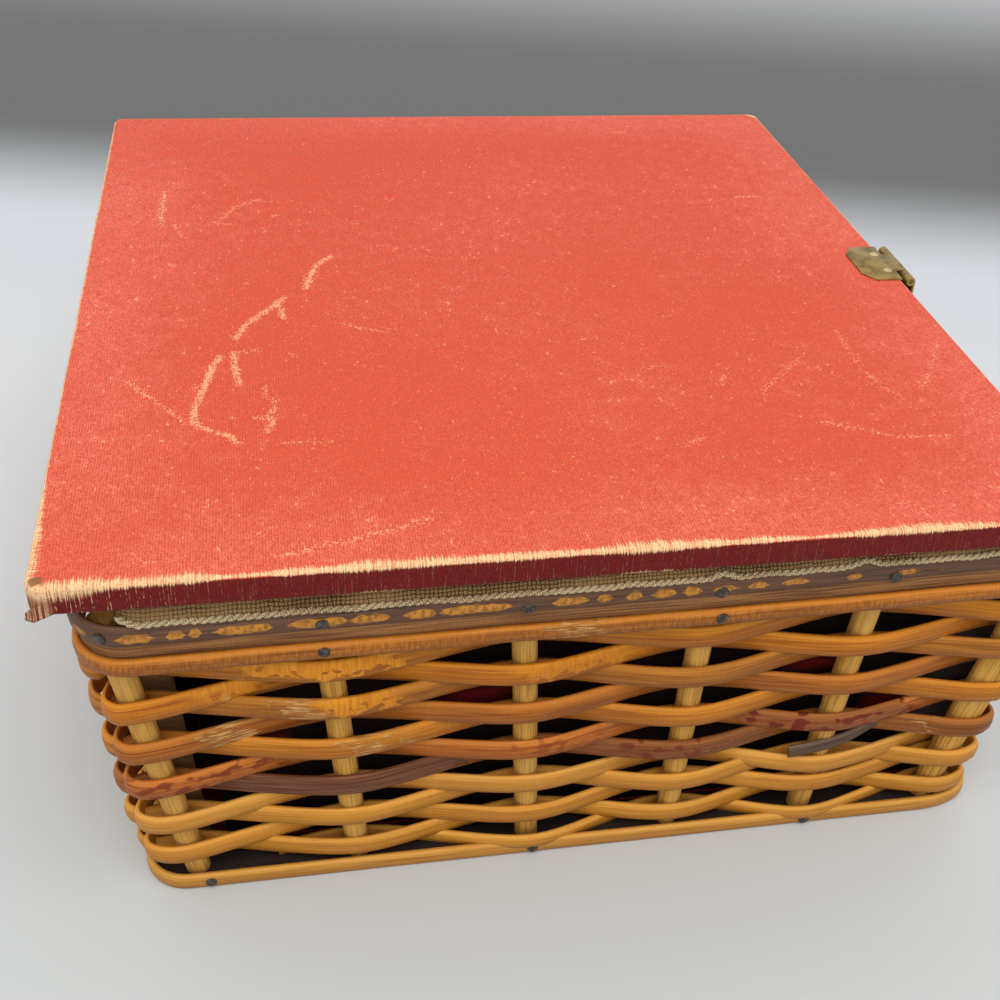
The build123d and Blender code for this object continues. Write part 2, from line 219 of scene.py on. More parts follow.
class Growth(Nodes):
    """A Geometry Nodes tree with named sizes, which turns a carrier into one plain mesh."""

    def __init__(self, name: str, **sizes: float) -> None:
        """Makes the tree's sockets; a whole number makes an integer one."""
        tree = bpy.data.node_groups.new(name, "GeometryNodeTree")
        super().__init__(tree)
        tree.interface.new_socket("Shape", in_out="INPUT", socket_type="NodeSocketGeometry")
        for size, value in sizes.items():
            kind = "NodeSocketInt" if isinstance(value, int) else "NodeSocketFloat"
            tree.interface.new_socket(size, in_out="INPUT", socket_type=kind).default_value = value
        tree.interface.new_socket("Finish", in_out="INPUT", socket_type="NodeSocketMaterial")
        tree.interface.new_socket("Shape", in_out="OUTPUT", socket_type="NodeSocketGeometry")
        self.given = self.add("NodeGroupInput")
        self.shape = self.given.outputs["Shape"]

    def size(self, name: str) -> Num:
        """One of the tree's named sizes."""
        return Num(self, self.given.outputs[name])

    def field(self, kind: str, output: int | str = 0) -> bpy.types.NodeSocket:
        """A field such as position or normal."""
        return self.add(kind).outputs[output]

    def keep(self, shape: bpy.types.NodeSocket, name: str, value: Num) -> bpy.types.NodeSocket:
        """Writes a number on a shape's points under a name."""
        values = {"Geometry": shape, "Name": name, "Value": value}
        return self.add("GeometryNodeStoreNamedAttribute", None, values).outputs[0]

    def length(self) -> Num:
        """How far along its curve a point lies."""
        return Num(self, self.field("GeometryNodeSplineParameter", "Length"))

    def track(self, scale: float) -> bpy.types.NodeSocket:
        """The given curve in even steps and a little uneven, with its length kept as along."""
        values = {"Curve": self.shape, "Length": self.size("Step")}
        even = self.add("GeometryNodeResampleCurve", {"mode": "LENGTH"}, values)
        values = {"Vector": self.field("GeometryNodeInputPosition"), "W": self.size("Seed"), "Scale": scale}
        noise = self.add("ShaderNodeTexNoise", {"noise_dimensions": "4D"}, values)
        amount = self.size("Wobble") * 2
        offset = self.at(*((part - 0.5) * amount for part in self.apart(noise.outputs["Color"])))
        moved = self.add("GeometryNodeSetPosition", None, {"Geometry": even.outputs[0], "Offset": offset})
        return self.keep(moved.outputs[0], "along", self.length())

    def circle(self, resolution: int, radius: "Num | float") -> bpy.types.NodeSocket:
        """A round profile."""
        values = {"Resolution": resolution, "Radius": radius}
        return self.add("GeometryNodeCurvePrimitiveCircle", None, values).outputs[0]

    def sweep(self, path: bpy.types.NodeSocket, profile: bpy.types.NodeSocket) -> bpy.types.NodeSocket:
        """A profile drawn along a path, closed at both ends."""
        values = {"Curve": path, "Profile Curve": profile, "Fill Caps": True}
        return self.add("GeometryNodeCurveToMesh", None, values).outputs[0]

    def end(self, shape: bpy.types.NodeSocket) -> "Growth":
        """Closes the tree: smooth, realized and with its material."""
        smooth = self.add("GeometryNodeSetShadeSmooth", None, {"Geometry": shape, "Shade Smooth": True})
        real = self.add("GeometryNodeRealizeInstances", None, {"Geometry": smooth.outputs[0]})
        values = {"Geometry": real.outputs[0], "Material": self.given.outputs["Finish"]}
        dressed = self.add("GeometryNodeSetMaterial", None, values)
        self.add("NodeGroupOutput", None, {0: dressed.outputs[0]})
        return self

    def grow(
        self, name: str, data: bpy.types.ID, finish: bpy.types.Material, **sizes: float
    ) -> bpy.types.Object:
        """Runs the tree on a carrier and keeps only the mesh.

        Args:
            name: the new piece's name.
            data: the carrier, a curve or a mesh.
            finish: its material.
            sizes: values for the tree's named sizes.

        Returns:
            The piece, a plain mesh object.
        """
        carrier = placed(name + "_carrier", data)
        modifier = carrier.modifiers.new("growth", "NODES")
        modifier.node_group = self.tree
        sizes["Finish"] = finish
        for item in self.tree.interface.items_tree:
            if item.in_out == "INPUT" and item.name in sizes:
                modifier[item.identifier] = sizes[item.name]
        return placed(name, baked(carrier))


def cane_strip() -> Growth:
    """A flat strip with a crowned outer face, swept along a curve that runs anticlockwise."""
    g = Growth("cane_strip", Width=6 * MM, Thickness=2 * MM, Edge=0.5, Step=2 * MM, Wobble=0.3 * MM, Seed=0)
    path = g.add("GeometryNodeSetCurveNormal", {"mode": "Z_UP"}, {"Curve": g.track(28.0)})
    x, y, _ = g.apart(g.field("GeometryNodeInputPosition"))
    across = y.sign() * abs(y) ** 0.55
    profile = g.keep(g.circle(16, 1.0), "across", 0 - across)
    profile = g.keep(profile, "outer", x)
    dome = 1 - abs(across) ** 2.6
    swell = (x * 4).at_least(0.0).at_most(1.0) * (g.size("Edge") + (1 - g.size("Edge")) * dome)
    out = (swell - 0.5) * g.size("Thickness")
    up = across * g.size("Width") * 0.5
    formed = g.add("GeometryNodeSetPosition", None, {"Geometry": profile, "Position": g.at(out, up)})
    return g.end(g.sweep(path.outputs[0], formed.outputs[0]))


def round_reed() -> Growth:
    """A round reed, swept along each spline of a curve, a little uneven and cut at both ends."""
    g = Growth("round_reed", Radius=3.25 * MM, Step=3 * MM, Wobble=0.3 * MM, Seed=0)
    path = g.track(30.0)
    x, y, _ = g.apart(g.field("GeometryNodeInputPosition"))
    profile = g.keep(g.circle(16, g.size("Radius")), "turn_x", x / g.size("Radius"))
    profile = g.keep(profile, "turn_y", y / g.size("Radius"))
    return g.end(g.sweep(path, profile))


def twisted_thread() -> Growth:
    """Two strands laid round each other along a curve."""
    sizes = {"Radius": 0.5 * MM, "Lay": 0.45 * MM, "Pitch": 4 * MM, "Step": 0.7 * MM, "Wobble": 0.5 * MM}
    g = Growth("twisted_thread", **sizes, Seed=0)
    path = g.track(140.0)
    circle = g.circle(6, g.size("Radius"))
    normal = g.field("GeometryNodeInputNormal")
    side = g.vectors("CROSS_PRODUCT", normal, g.field("GeometryNodeInputTangent"))
    join = g.add("GeometryNodeJoinGeometry")
    for start in (0.0, math.pi):
        turn = g.length() / g.size("Pitch") * FULL_TURN + start
        shifts = []
        for way, share in ((normal, turn.cosine()), (side, turn.sine())):
            values = {0: way, "Scale": share * g.size("Lay")}
            shifts.append(g.add("ShaderNodeVectorMath", {"operation": "SCALE"}, values).outputs[0])
        total = g.vectors("ADD", *shifts)
        strand = g.add("GeometryNodeSetPosition", None, {"Geometry": path, "Offset": total})
        g.tree.links.new(g.sweep(strand.outputs[0], circle), join.inputs[0])
    return g.end(join.outputs[0])


def nail_heads() -> Growth:
    """A low hammered dome on each point of a mesh, turned to face the way the point does."""
    g = Growth("nail_heads", Radius=1.65 * MM, Height=0.6 * MM, Tilt=0.14, Seed=0)
    dome = g.add("GeometryNodeMeshUVSphere", None, {"Segments": 10, "Rings": 6, "Radius": 1.0})
    vector = {"data_type": "FLOAT_VECTOR"}
    way = g.add("GeometryNodeInputNamedAttribute", vector, {"Name": "facing"})
    tilt = g.size("Tilt")
    values = {0: g.at(*[0 - tilt] * 3), 1: g.at(*[tilt] * 3), "Seed": g.size("Seed")}
    lean = g.add("FunctionNodeRandomValue", vector, values)
    facing = g.vectors("ADD", way.outputs[0], lean.outputs[0])
    turn = g.add("FunctionNodeAlignRotationToVector", {"axis": "Z"}, {"Vector": facing}).outputs[0]
    values = {2: 0.88, 3: 1.12, "Seed": g.size("Seed")}
    uneven = g.add("FunctionNodeRandomValue", {"data_type": "FLOAT"}, values)
    radius = g.size("Radius") * Num(g, uneven.outputs[1])
    scale = g.at(radius, radius, g.size("Height"))
    values = {"Points": g.shape, "Instance": dome.outputs[0], "Rotation": turn, "Scale": scale}
    return g.end(g.add("GeometryNodeInstanceOnPoints", None, values).outputs[0])


# Meshes


def placed(name: str, data: bpy.types.ID) -> bpy.types.Object:
    """An object of a mesh or curve, linked to the scene."""
    data.name = name
    piece = bpy.data.objects.new(name, data)
    bpy.context.scene.collection.objects.link(piece)
    return piece


def baked(carrier: bpy.types.Object) -> bpy.types.Mesh:
    """The mesh that an object's modifiers make; the object itself is removed."""
    depsgraph = bpy.context.evaluated_depsgraph_get()
    mesh = bpy.data.meshes.new_from_object(carrier.evaluated_get(depsgraph), depsgraph=depsgraph)
    bpy.data.objects.remove(carrier)
    return mesh


def mesh_of(name: str, points: np.ndarray, faces: list, finish: bpy.types.Material) -> bpy.types.Object:
    """A smooth mesh object from points in metres, with its material."""
    mesh = bpy.data.meshes.new(name)
    mesh.from_pydata(points.reshape(-1, 3).tolist(), [], faces)
    mesh.materials.append(finish)
    mesh.shade_smooth()
    mesh.update()
    return placed(name, mesh)


def belongs(piece: bpy.types.Object, body: str, node: str | None = None) -> None:
    """Says which body a piece rides on, and the CAD node that it stands for."""
    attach(piece, body)
    if node:
        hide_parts(node)


def dress(node: str, finish: bpy.types.Material) -> None:
    """Gives a CAD node that stays in view its material."""
    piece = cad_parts[node]
    if not piece.material_slots:
        piece.data.materials.append(finish)
    for slot in piece.material_slots:
        slot.material = finish


@contextmanager
def edited(mesh: bpy.types.Mesh) -> Iterator[bmesh.types.BMesh]:
    """Opens a mesh for editing and writes it back."""
    shape = bmesh.new()
    shape.from_mesh(mesh)
    yield shape
    shape.to_mesh(mesh)
    shape.free()


def prism(
    name: str, outline: list[tuple[float, float]], low: float, high: float, finish: bpy.types.Material
) -> bpy.types.Object:
    """A flat board of an outline in millimetres, from one height to another in metres."""
    count = len(outline)
    points = np.array([(x * MM, y * MM, z) for z in (low, high) for x, y in outline])
    faces = [tuple(range(count))[::-1], tuple(range(count, 2 * count))]
    faces += [(k, (k + 1) % count, count + (k + 1) % count, count + k) for k in range(count)]
    piece = mesh_of(name, points, faces, finish)
    piece.data.set_sharp_from_angle(angle=SHARP)
    return piece


def paint(piece: bpy.types.Object, name: str, values: np.ndarray) -> None:
    """Writes one number a point on a mesh, for its material."""
    layer = piece.data.attributes.new(name, "FLOAT", "POINT")
    layer.data.foreach_set("value", np.ascontiguousarray(values, dtype=np.float32).ravel())


def points_of(piece: bpy.types.Object) -> np.ndarray:
    """The places of a mesh's points, in metres."""
    places = np.zeros(len(piece.data.vertices) * 3, np.float32)
    piece.data.vertices.foreach_get("co", places)
    return places.reshape(-1, 3)


def move(piece: bpy.types.Object, points: np.ndarray) -> None:
    """Puts a mesh's points at new places in metres."""
    piece.data.vertices.foreach_set("co", points.ravel())
    piece.data.update()


def number_of(piece: bpy.types.Object, name: str) -> np.ndarray:
    """A number that is already on a mesh's points."""
    values = np.zeros(len(piece.data.vertices), np.float32)
    piece.data.attributes[name].data.foreach_get("value", values)
    return values


def path_curve(runs: list[list[tuple]], closed: bool, smooth: bool) -> bpy.types.Curve:
    """A curve through or near points in metres.

    Args:
        runs: points of each spline.
        closed: whether each spline closes on itself.
        smooth: a NURBS line near the points, or straight runs through them.

    Returns:
        The curve.
    """
    curve = bpy.data.curves.new("path", "CURVE")
    curve.dimensions = "3D"
    curve.resolution_u = 12
    for run in runs:
        spline = curve.splines.new("NURBS" if smooth else "POLY")
        spline.points.add(len(run) - 1)
        spline.points.foreach_set("co", [v for point in run for v in (*point, 1.0)])
        spline.use_cyclic_u = closed
        if smooth:
            spline.order_u = 4
            spline.use_endpoint_u = not closed
    return curve


def cells(rows: int, columns: int) -> list[tuple[int, int, int, int]]:
    """The faces of a grid of points."""
    starts = [i * columns + j for i in range(rows - 1) for j in range(columns - 1)]
    return [(a, a + columns, a + columns + 1, a + 1) for a in starts]


def border(rows: int, columns: int) -> list[int]:
    """Point numbers all round a grid, from its first point."""
    edge = [i * columns for i in range(rows)]
    edge += [(rows - 1) * columns + j for j in range(1, columns)]
    edge += [i * columns + columns - 1 for i in range(rows - 2, -1, -1)]
    return edge + list(range(columns - 2, 0, -1))


def spread(rows: int, columns: int) -> list[np.ndarray]:
    """Two grids that run from -1 to 1, one down the rows and one along the columns."""
    return np.meshgrid(np.linspace(-1, 1, rows), np.linspace(-1, 1, columns), indexing="ij")


def slab(name: str, front: np.ndarray, back: np.ndarray, finish: bpy.types.Material) -> bpy.types.Object:
    """A closed sheet from two grids of points, joined round their edges.

    Args:
        name: the piece's name.
        front: grid of points on the side that faces out, anticlockwise seen from there.
        back: grid of the same size on the other side.
        finish: its material.

    Returns:
        The piece, with its place on the front grid painted as along and across, in metres.
    """
    rows, columns = front.shape[:2]
    count = rows * columns
    faces = cells(rows, columns)
    faces += [(count + a, count + d, count + c, count + b) for a, b, c, d in faces]
    edge = border(rows, columns)
    faces += [(b, a, count + a, count + b) for a, b in zip(edge, edge[1:] + edge[:1])]
    piece = mesh_of(name, np.concatenate([front.reshape(-1, 3), back.reshape(-1, 3)]), faces, finish)
    with edited(piece.data) as shape:
        bmesh.ops.recalc_face_normals(shape, faces=shape.faces)
    for axis, label in enumerate(("along", "across")):
        steps = np.linalg.norm(np.diff(front, axis=axis), axis=2).mean(axis=1 - axis)
        lengths = np.expand_dims(np.concatenate([[0.0], np.cumsum(steps)]), 1 - axis)
        paint(piece, label, np.tile(np.broadcast_to(lengths, (rows, columns)).ravel(), 2))
    return piece


def eased(value: np.ndarray, start: float, end: float) -> np.ndarray:
    """A soft step from 0 at start to 1 at end."""
    share = np.clip((value - start) / (end - start), 0, 1)
    return share * share * (3 - 2 * share)


def brushed(at: np.ndarray, start: float, end: float, soft: float = 4.0) -> np.ndarray:
    """1 between two places, falling to 0 over a soft end at each."""
    low, high = min(start, end), max(start, end)
    return np.clip((at - low) / soft + 0.5, 0, 1) * np.clip((high - at) / soft + 0.5, 0, 1)


def jagged(across: np.ndarray) -> np.ndarray:
    """How far the end of a mark runs on, in millimetres, at each height of a strip."""
    return 2.2 * np.sin(across * 7.0) + 1.4 * np.sin(across * 19.0 + 1.0)


@dataclass(frozen=True)
class Loop:
    """A rounded rectangle in plan, in millimetres."""

    half: tuple[float, float]
    radius: float

    def inside(self, inset: float) -> "Loop":
        """The loop that runs inside this one."""
        return Loop((self.half[0] - inset, self.half[1] - inset), self.radius - inset)

    def points(self, steps: int = 8) -> list[tuple[float, float]]:
        """Its points, anticlockwise from the right-hand wall's middle."""
        points = [(self.half[0], 0.0)]
        for turn, sides in enumerate(CORNERS):
            x, y = (side * (half - self.radius) for side, half in zip(sides, self.half))
            for k in range(steps + 1):
                angle = math.radians(90 * (turn + k / steps))
                points.append((x + self.radius * math.cos(angle), y + self.radius * math.sin(angle)))
        return points

    def face(self, wall: int, along: float) -> tuple[float, float, float]:
        """How far out it runs at a place along a wall, and the parts out and along of the way it faces."""
        out, end = self.half[wall % 2], self.half[(wall + 1) % 2] - self.radius
        past = max(0.0, abs(along) - end)
        rise = math.sqrt(max(0.0, self.radius**2 - past**2))
        return out - self.radius + rise, rise / self.radius, math.copysign(past / self.radius, along)


# Finishes


@dataclass(frozen=True)
class Cane:
    """Split cane: lengthwise fibres, a painted highlight along its top edge, painted shade over its bottom
    half, and painted marks.
    """

    name: str
    body: Colour
    deep: Colour
    # dull: the colour of the painted shade over each strip's bottom half.
    dull: Colour = (138, 84, 42)
    seed: float = 0.0
    gloss: float = 0.42
    grain: float = 1.0
    striation: float = 0.15

    def make(self) -> bpy.types.Material:
        """Makes the material."""
        p = Paint(self.name)
        along, across, outer = p.painted("along"), p.painted("across"), p.painted("outer")
        fibre = p.noise(p.at(along * 40, across * 4.5 + self.seed, outer * 2), 1.0, 3.0)
        fine = p.noise(p.at(along * 70, across * 22 + self.seed, outer * 9), 1.0, 2.0)
        tone = p.noise(p.at(along * 16 + self.seed * 7, across * 0.4, self.seed), 1.0, 2.0)
        cross = p.noise(p.at(along * 1500, across * 0.6, self.seed), 1.0, 1.0)
        streaks = (fibre * 0.55 + fine * 0.45).ramp(0.4, 0.58)
        colour = p.mix(streaks * (0.85 * self.grain) + (1 - self.grain) * 0.5, self.deep, self.body)
        colour = p.mix(cross.ramp(0.42, 0.58) * self.striation, colour, self.deep)
        colour = p.mix(tone.ramp(0.5, 0.72) * 0.5, colour, shade(self.body, 1.07))
        colour = p.mix(tone.ramp(0.46, 0.28) * 0.4, colour, self.deep)
        # Painted shade: a duller colour towards the strip's bottom edge, where less light falls on it.
        lower = (0 - across + (fibre - 0.5) * 0.9).ramp(0.0, 1.0)
        colour = p.mix(lower * 0.55, colour, self.dull)
        # Painted highlight: a lighter colour towards the strip's top edge, where it catches the light.
        upper = (across + (fibre - 0.5) * 0.7).ramp(0.3, 0.97)
        colour = p.mix(upper * 0.65, colour, shade(self.body, 1.08, 16))
        blotch = p.noise(p.at(along * 300, across * 1.2, self.seed + 2), 1.0, 2.0)
        bare = p.painted("bare") * (across * 0.4 + (blotch - 0.5) * 2.2 + 0.42).ramp(0.25, 0.36)
        golden = p.mix(cross.ramp(0.36, 0.64), (216, 130, 20), (232, 154, 34))
        colour = p.mix(bare * 0.9, colour, golden)
        stain = (p.painted("dark") + (fibre - 0.5) * 0.5).ramp(0.35, 0.75)
        brown = p.mix(fine.ramp(0.35, 0.65), (74, 36, 22), (132, 84, 56))
        colour = p.mix(stain * 0.92, colour, brown)
        spots = p.noise(p.at(along * 230, across * 1.1, self.seed + 4), 1.0, 1.0)
        spot = p.painted("spots") * (spots - across * 0.06 + (fine - 0.5) * 0.12).ramp(0.52, 0.58)
        colour = p.mix(spot * 0.85, colour, (116, 34, 12))
        hairs = p.noise(p.at(along * 240 + across * 0.6, across * 8, outer * 4), 1.0, 3.0)
        torn = (p.painted("fray") * 0.85 + (hairs - 0.5) * 1.7 + (blotch - 0.5) * 1.5).ramp(0.46, 0.8)
        straw = p.mix(hairs.ramp(0.42, 0.62), (150, 92, 42), (226, 178, 108))
        colour = p.mix(torn * 0.7, colour, straw)
        relief = fibre * 0.45 + fine * 0.3 + cross * 0.1 + torn * hairs * 0.8
        roughness = self.gloss + (fine - 0.5) * 0.3 + torn * 0.25
        return p.finish(colour, roughness, relief, 0.3 * MM, Specular_IOR_Level=0.22)


@dataclass(frozen=True)
class Reed:
    """Round reed: pale, with dark broken lines along it."""

    name: str
    body: Colour
    line: Colour

    def make(self) -> bpy.types.Material:
        """Makes the material."""
        p = Paint(self.name)
        along, turn_x, turn_y = p.painted("along"), p.painted("turn_x"), p.painted("turn_y")
        fibre = p.noise(p.at(turn_x * 7, turn_y * 7, along * 35), 1.0, 3.0)
        fine = p.noise(p.at(turn_x * 20, turn_y * 20, along * 60), 1.0, 2.0)
        tone = p.noise(p.place, 30.0, 2.0)
        colour = p.mix((fibre * 0.6 + fine * 0.4).ramp(0.38, 0.56), self.line, self.body)
        colour = p.mix(tone.ramp(0.4, 0.7) * 0.35, colour, (232, 184, 100))
        relief = fibre * 0.6 + fine * 0.4
        return p.finish(colour, 0.62 + (fine - 0.5) * 0.2, relief, 0.5 * MM, Specular_IOR_Level=0.25)


@dataclass(frozen=True)
class BambooSkin:
    """Dark bamboo skin with lens-shaped scraped places, cross-striated and yellow."""

    name: str
    body: Colour
    deep: Colour
    scraped: Colour

    def make(self) -> bpy.types.Material:
        """Makes the material."""
        p = Paint(self.name)
        along, across, outer = p.painted("along"), p.painted("across"), p.painted("outer")
        fibre = p.noise(p.at(along * 30, across * 6, outer * 2), 1.0, 3.0)
        fine = p.noise(p.at(along * 50, across * 24, outer * 6), 1.0, 2.0)
        stripe = p.noise(p.at(along * 900, across * 1.2, 3.0), 1.0, 1.0)
        colour = p.mix((fibre * 0.6 + fine * 0.4).ramp(0.38, 0.62), self.deep, self.body)
        # Painted highlight: a lighter brown along the band's top edge, where it catches the light.
        edge = across.ramp(0.7, 0.98)
        colour = p.mix(edge * 0.6, colour, (148, 106, 74))
        half_height = p.painted("scrape")
        blotch = p.noise(p.at(along * 320, across * 1.8, 5.0), 1.0, 2.0)
        away = abs(across + 0.02) + (fine - 0.5) * 0.2 + (stripe - 0.5) * 0.3 + (blotch - 0.5) * 0.5
        bare = (half_height - away).ramp(0.0, 0.12)
        yellow = p.mix(stripe.ramp(0.36, 0.6), shade(self.scraped, 0.74), self.scraped)
        colour = p.mix(bare * 0.92, colour, yellow)
        crack = (abs(p.noise(p.at(along * 20, across * 5 + 9, 1.0), 1.0, 2.0) - 0.5)).ramp(0.012, 0.0)
        colour = p.mix(crack * (1 - bare) * 0.55, colour, (44, 26, 20))
        relief = fibre * 0.4 + fine * 0.3 - bare * 0.5 - crack * 0.4 + stripe * bare * 0.2
        return p.finish(colour, 0.5 - bare * 0.08 + (fine - 0.5) * 0.2, relief, 0.35 * MM)


@dataclass(frozen=True)
class BookCloth:
    """Red book cloth, faded on top, its edges a darker red that is partly less faded cloth and partly painted
    shade, with cream threads where its edges are worn through.
    """

    name: str = "book_cloth"
    half_x: float = 142.0
    half_y: float = 127.0
    middle_y: float = 3.0
    top: float = 113.65
    thickness: float = 7.5
    face: Colour = (226, 84, 54)
    faded: Colour = (240, 120, 96)
    # side: the edges' darker red, partly cloth less faded than the top and partly painted shade.
    side: Colour = (120, 12, 5)
    threads: Colour = (246, 218, 164)
    rubbed: Colour = (232, 158, 108)

    def make(self) -> bpy.types.Material:
        """Makes the material."""
        p = Paint(self.name)
        x, y, z = p.x / MM, p.y / MM - self.middle_y, p.z / MM
        warp = p.noise(p.at(x, y * 3.4, z), 1.0, 1.0)
        weft = p.noise(p.at(x * 3.4, y * 1.1, z * 2.6), 1.0, 1.0)
        line = ((y * 9.2 + (warp - 0.5) * 7 + (weft - 0.5) * 4).sine() * 0.5 + 0.5) * 0.14
        thread = warp * 0.5 + weft * 0.36 + line
        broad = p.noise(p.at(x * 0.012, y * 0.012, 1.0), 1.0, 3.0)
        mottle = p.noise(p.at(x * 0.2, y * 0.2, z * 0.2), 1.0, 4.0)
        speck = p.noise(p.at(x * 0.5, y * 0.7, z * 0.5 + 8), 1.0, 2.0)
        drop, from_x, from_y = self.top - z, self.half_x - abs(x), self.half_y - abs(y)
        inset = from_x.at_most(from_y)
        long_edge = from_y.above(from_x)
        near = long_edge * (0 - x).above(0.0)
        on_side = drop.ramp(0.5, 1.1)
        colour = p.mix(thread.ramp(0.36, 0.62), shade(self.face, 0.9), self.face)
        fade = (broad * 0.6 + mottle * 0.4).ramp(0.42, 0.64) * 0.4 + inset.ramp(40.0, 3.0) * 0.4
        colour = p.mix(fade * thread.ramp(0.36, 0.6), colour, self.faded)
        # The edges take the darker side red: partly less faded cloth, partly painted shade.
        side = p.mix(thread.ramp(0.36, 0.62), shade(self.side, 0.74), self.side)
        colour = p.mix(on_side, colour, side)
        ragged = p.noise(p.at(x * 0.03 + 3, y * 0.045, 6.0), 1.0, 3.0)
        across_near = p.noise(p.at(x * 0.1, y * 3.2, z * 0.1), 1.0, 1.0)
        across_ends = p.noise(p.at(x * 3.2, y * 0.1, z * 0.1 + 4), 1.0, 1.0)
        streak = across_near * long_edge + across_ends * (1 - long_edge)
        worn = p.painted("worn")
        away = (inset - 0.2).at_least(0.0) + (drop - 0.4).at_least(0.0) * (2.4 - worn * 1.6)
        length = ((ragged - 0.45) * (2.0 + near * 9) + 0.8 + near * 0.9 + worn * 2.4).at_least(0.5)
        arris = 1.15 - away / length + (streak - 0.5) * (0.9 + near * 0.5) + (thread - 0.5) * 0.5
        arris = arris.ramp(0.3, 0.95)
        bottom = z - self.top + self.thickness
        hem = ((ragged - 0.56) * 6 + (streak - 0.5) * 2 - bottom * 0.8 + 0.5).ramp(0.2, 0.7) * on_side * 0.7
        lines = (across_near + (warp - 0.5) * 0.5 - 0.5).ramp(0.12, 0.24) * on_side * (0.1 + worn * 0.6)
        corner = ((ragged - 0.35) * 8 + 2.4 + worn * 1.5 - (from_x + from_y) * 0.8).ramp(-0.6, 0.8)
        corner = corner * (1 - drop.ramp(1.5, 4.5) * (1 - (streak - 0.3) * 1.2))
        scuff = (p.painted("scuff") * 1.15 + (warp + weft - 1) * 2.0).ramp(0.5, 1.05)
        specks = (speck * 0.65 + mottle * 0.25 + broad * 0.12).ramp(0.61, 0.68)
        specks = specks * thread.ramp(0.42, 0.56) * 0.7
        rub = (scuff * 0.85).at_least(specks) * (1 - on_side)
        colour = p.mix(rub, colour, (250, 178, 128))
        wear = arris.at_least(hem).at_least(lines).at_least(corner)
        cream = p.mix((thread + (streak - 0.5) * 0.5).ramp(0.34, 0.6), self.rubbed, self.threads)
        colour = p.mix(wear * 0.9, colour, cream)
        bare = p.painted("board") + (mottle - 0.5) * 0.9 + (thread - 0.5) * 0.6 + (speck - 0.5)
        bare = bare.ramp(0.5, 0.75)
        colour = p.mix(bare * 0.9, colour, p.mix(mottle.ramp(0.4, 0.6), (138, 92, 50), (206, 158, 98)))
        relief = warp * 0.5 + weft * 0.3 - wear * 0.4 - rub * 0.2 - bare * 0.5
        return p.finish(colour, 0.66 + wear * 0.2, relief, 0.14 * MM, Specular_IOR_Level=0.25)


@dataclass(frozen=True)
class PlainWeave:
    """A cloth of crossed threads, on the along and across that its mesh carries."""

    name: str
    light: Colour
    dark: Colour
    pitch: float = 0.7
    roughness: float = 0.85
    patchy: float = 0.5

    def make(self) -> bpy.types.Material:
        """Makes the material."""
        p = Paint(self.name)
        u, v = p.painted("along") / (self.pitch * MM), p.painted("across") / (self.pitch * MM)
        drift = (p.noise(p.place, 260.0, 2.0) - 0.5) * 0.9
        warp, weft = ((u + drift) * math.pi).sine(), ((v + drift) * math.pi).sine()
        over = warp * weft
        height = abs(warp) * over.ramp(-0.3, 0.3) + abs(weft) * over.ramp(0.3, -0.3)
        tone = p.noise(p.place, 45.0, 3.0)
        slub = p.noise(p.at(u * 0.12, v * 0.9, 0.0), 1.0, 2.0) * 0.5
        slub = slub + p.noise(p.at(u * 0.9, v * 0.12, 4.0), 1.0, 2.0) * 0.5
        share = (height * 0.55 + slub * 0.6 + (tone - 0.5) * self.patchy).ramp(0.3, 0.85)
        colour = p.mix(share, self.dark, self.light)
        # Painted shade: where card is painted, the cloth turns near-black, the deep shade behind the weave.
        colour = p.mix(p.painted("card"), colour, p.mix(tone, (12, 6, 4), (34, 12, 9)))
        relief = height * 0.8 + slub * 0.3
        return p.finish(colour, self.roughness, relief, 0.3 * MM, Specular_IOR_Level=0.15)


@dataclass(frozen=True)
class Fibreboard:
    """Plain board: brown, faintly mottled and lined."""

    name: str
    light: Colour
    dark: Colour
    stretch: float = 6.0

    def make(self) -> bpy.types.Material:
        """Makes the material."""
        p = Paint(self.name)
        x, y, z = p.x / MM, p.y / MM, p.z / MM
        grain = p.noise(p.at(x * 0.5, y * 0.5 / self.stretch, z * 0.8), 1.0, 4.0)
        mottle = p.noise(p.place, 70.0, 4.0)
        colour = p.mix((grain * 0.6 + mottle * 0.4).ramp(0.36, 0.64), self.dark, self.light)
        return p.finish(colour, 0.78 + (mottle - 0.5) * 0.2, grain, 0.12 * MM)


@dataclass(frozen=True)
class OldMetal:
    """Metal that has dulled unevenly, brighter where it is rubbed."""

    name: str
    bright: Colour
    tarnish: Colour
    spread: tuple[float, float] = (0.4, 0.62)
    metallic: float = 0.85
    scale: float = 220.0

    def make(self) -> bpy.types.Material:
        """Makes the material."""
        p = Paint(self.name)
        cloud = p.noise(p.place, self.scale, 4.0)
        fine = p.noise(p.place, self.scale * 7, 3.0)
        rub = (cloud * 0.7 + fine * 0.3).ramp(*self.spread)
        colour = p.mix(rub, self.tarnish, self.bright)
        relief = cloud * 0.5 + fine * 0.4
        roughness = 0.55 - rub * 0.2 + (fine - 0.5) * 0.2
        return p.finish(colour, roughness, relief, 0.12 * MM, Metallic=self.metallic)


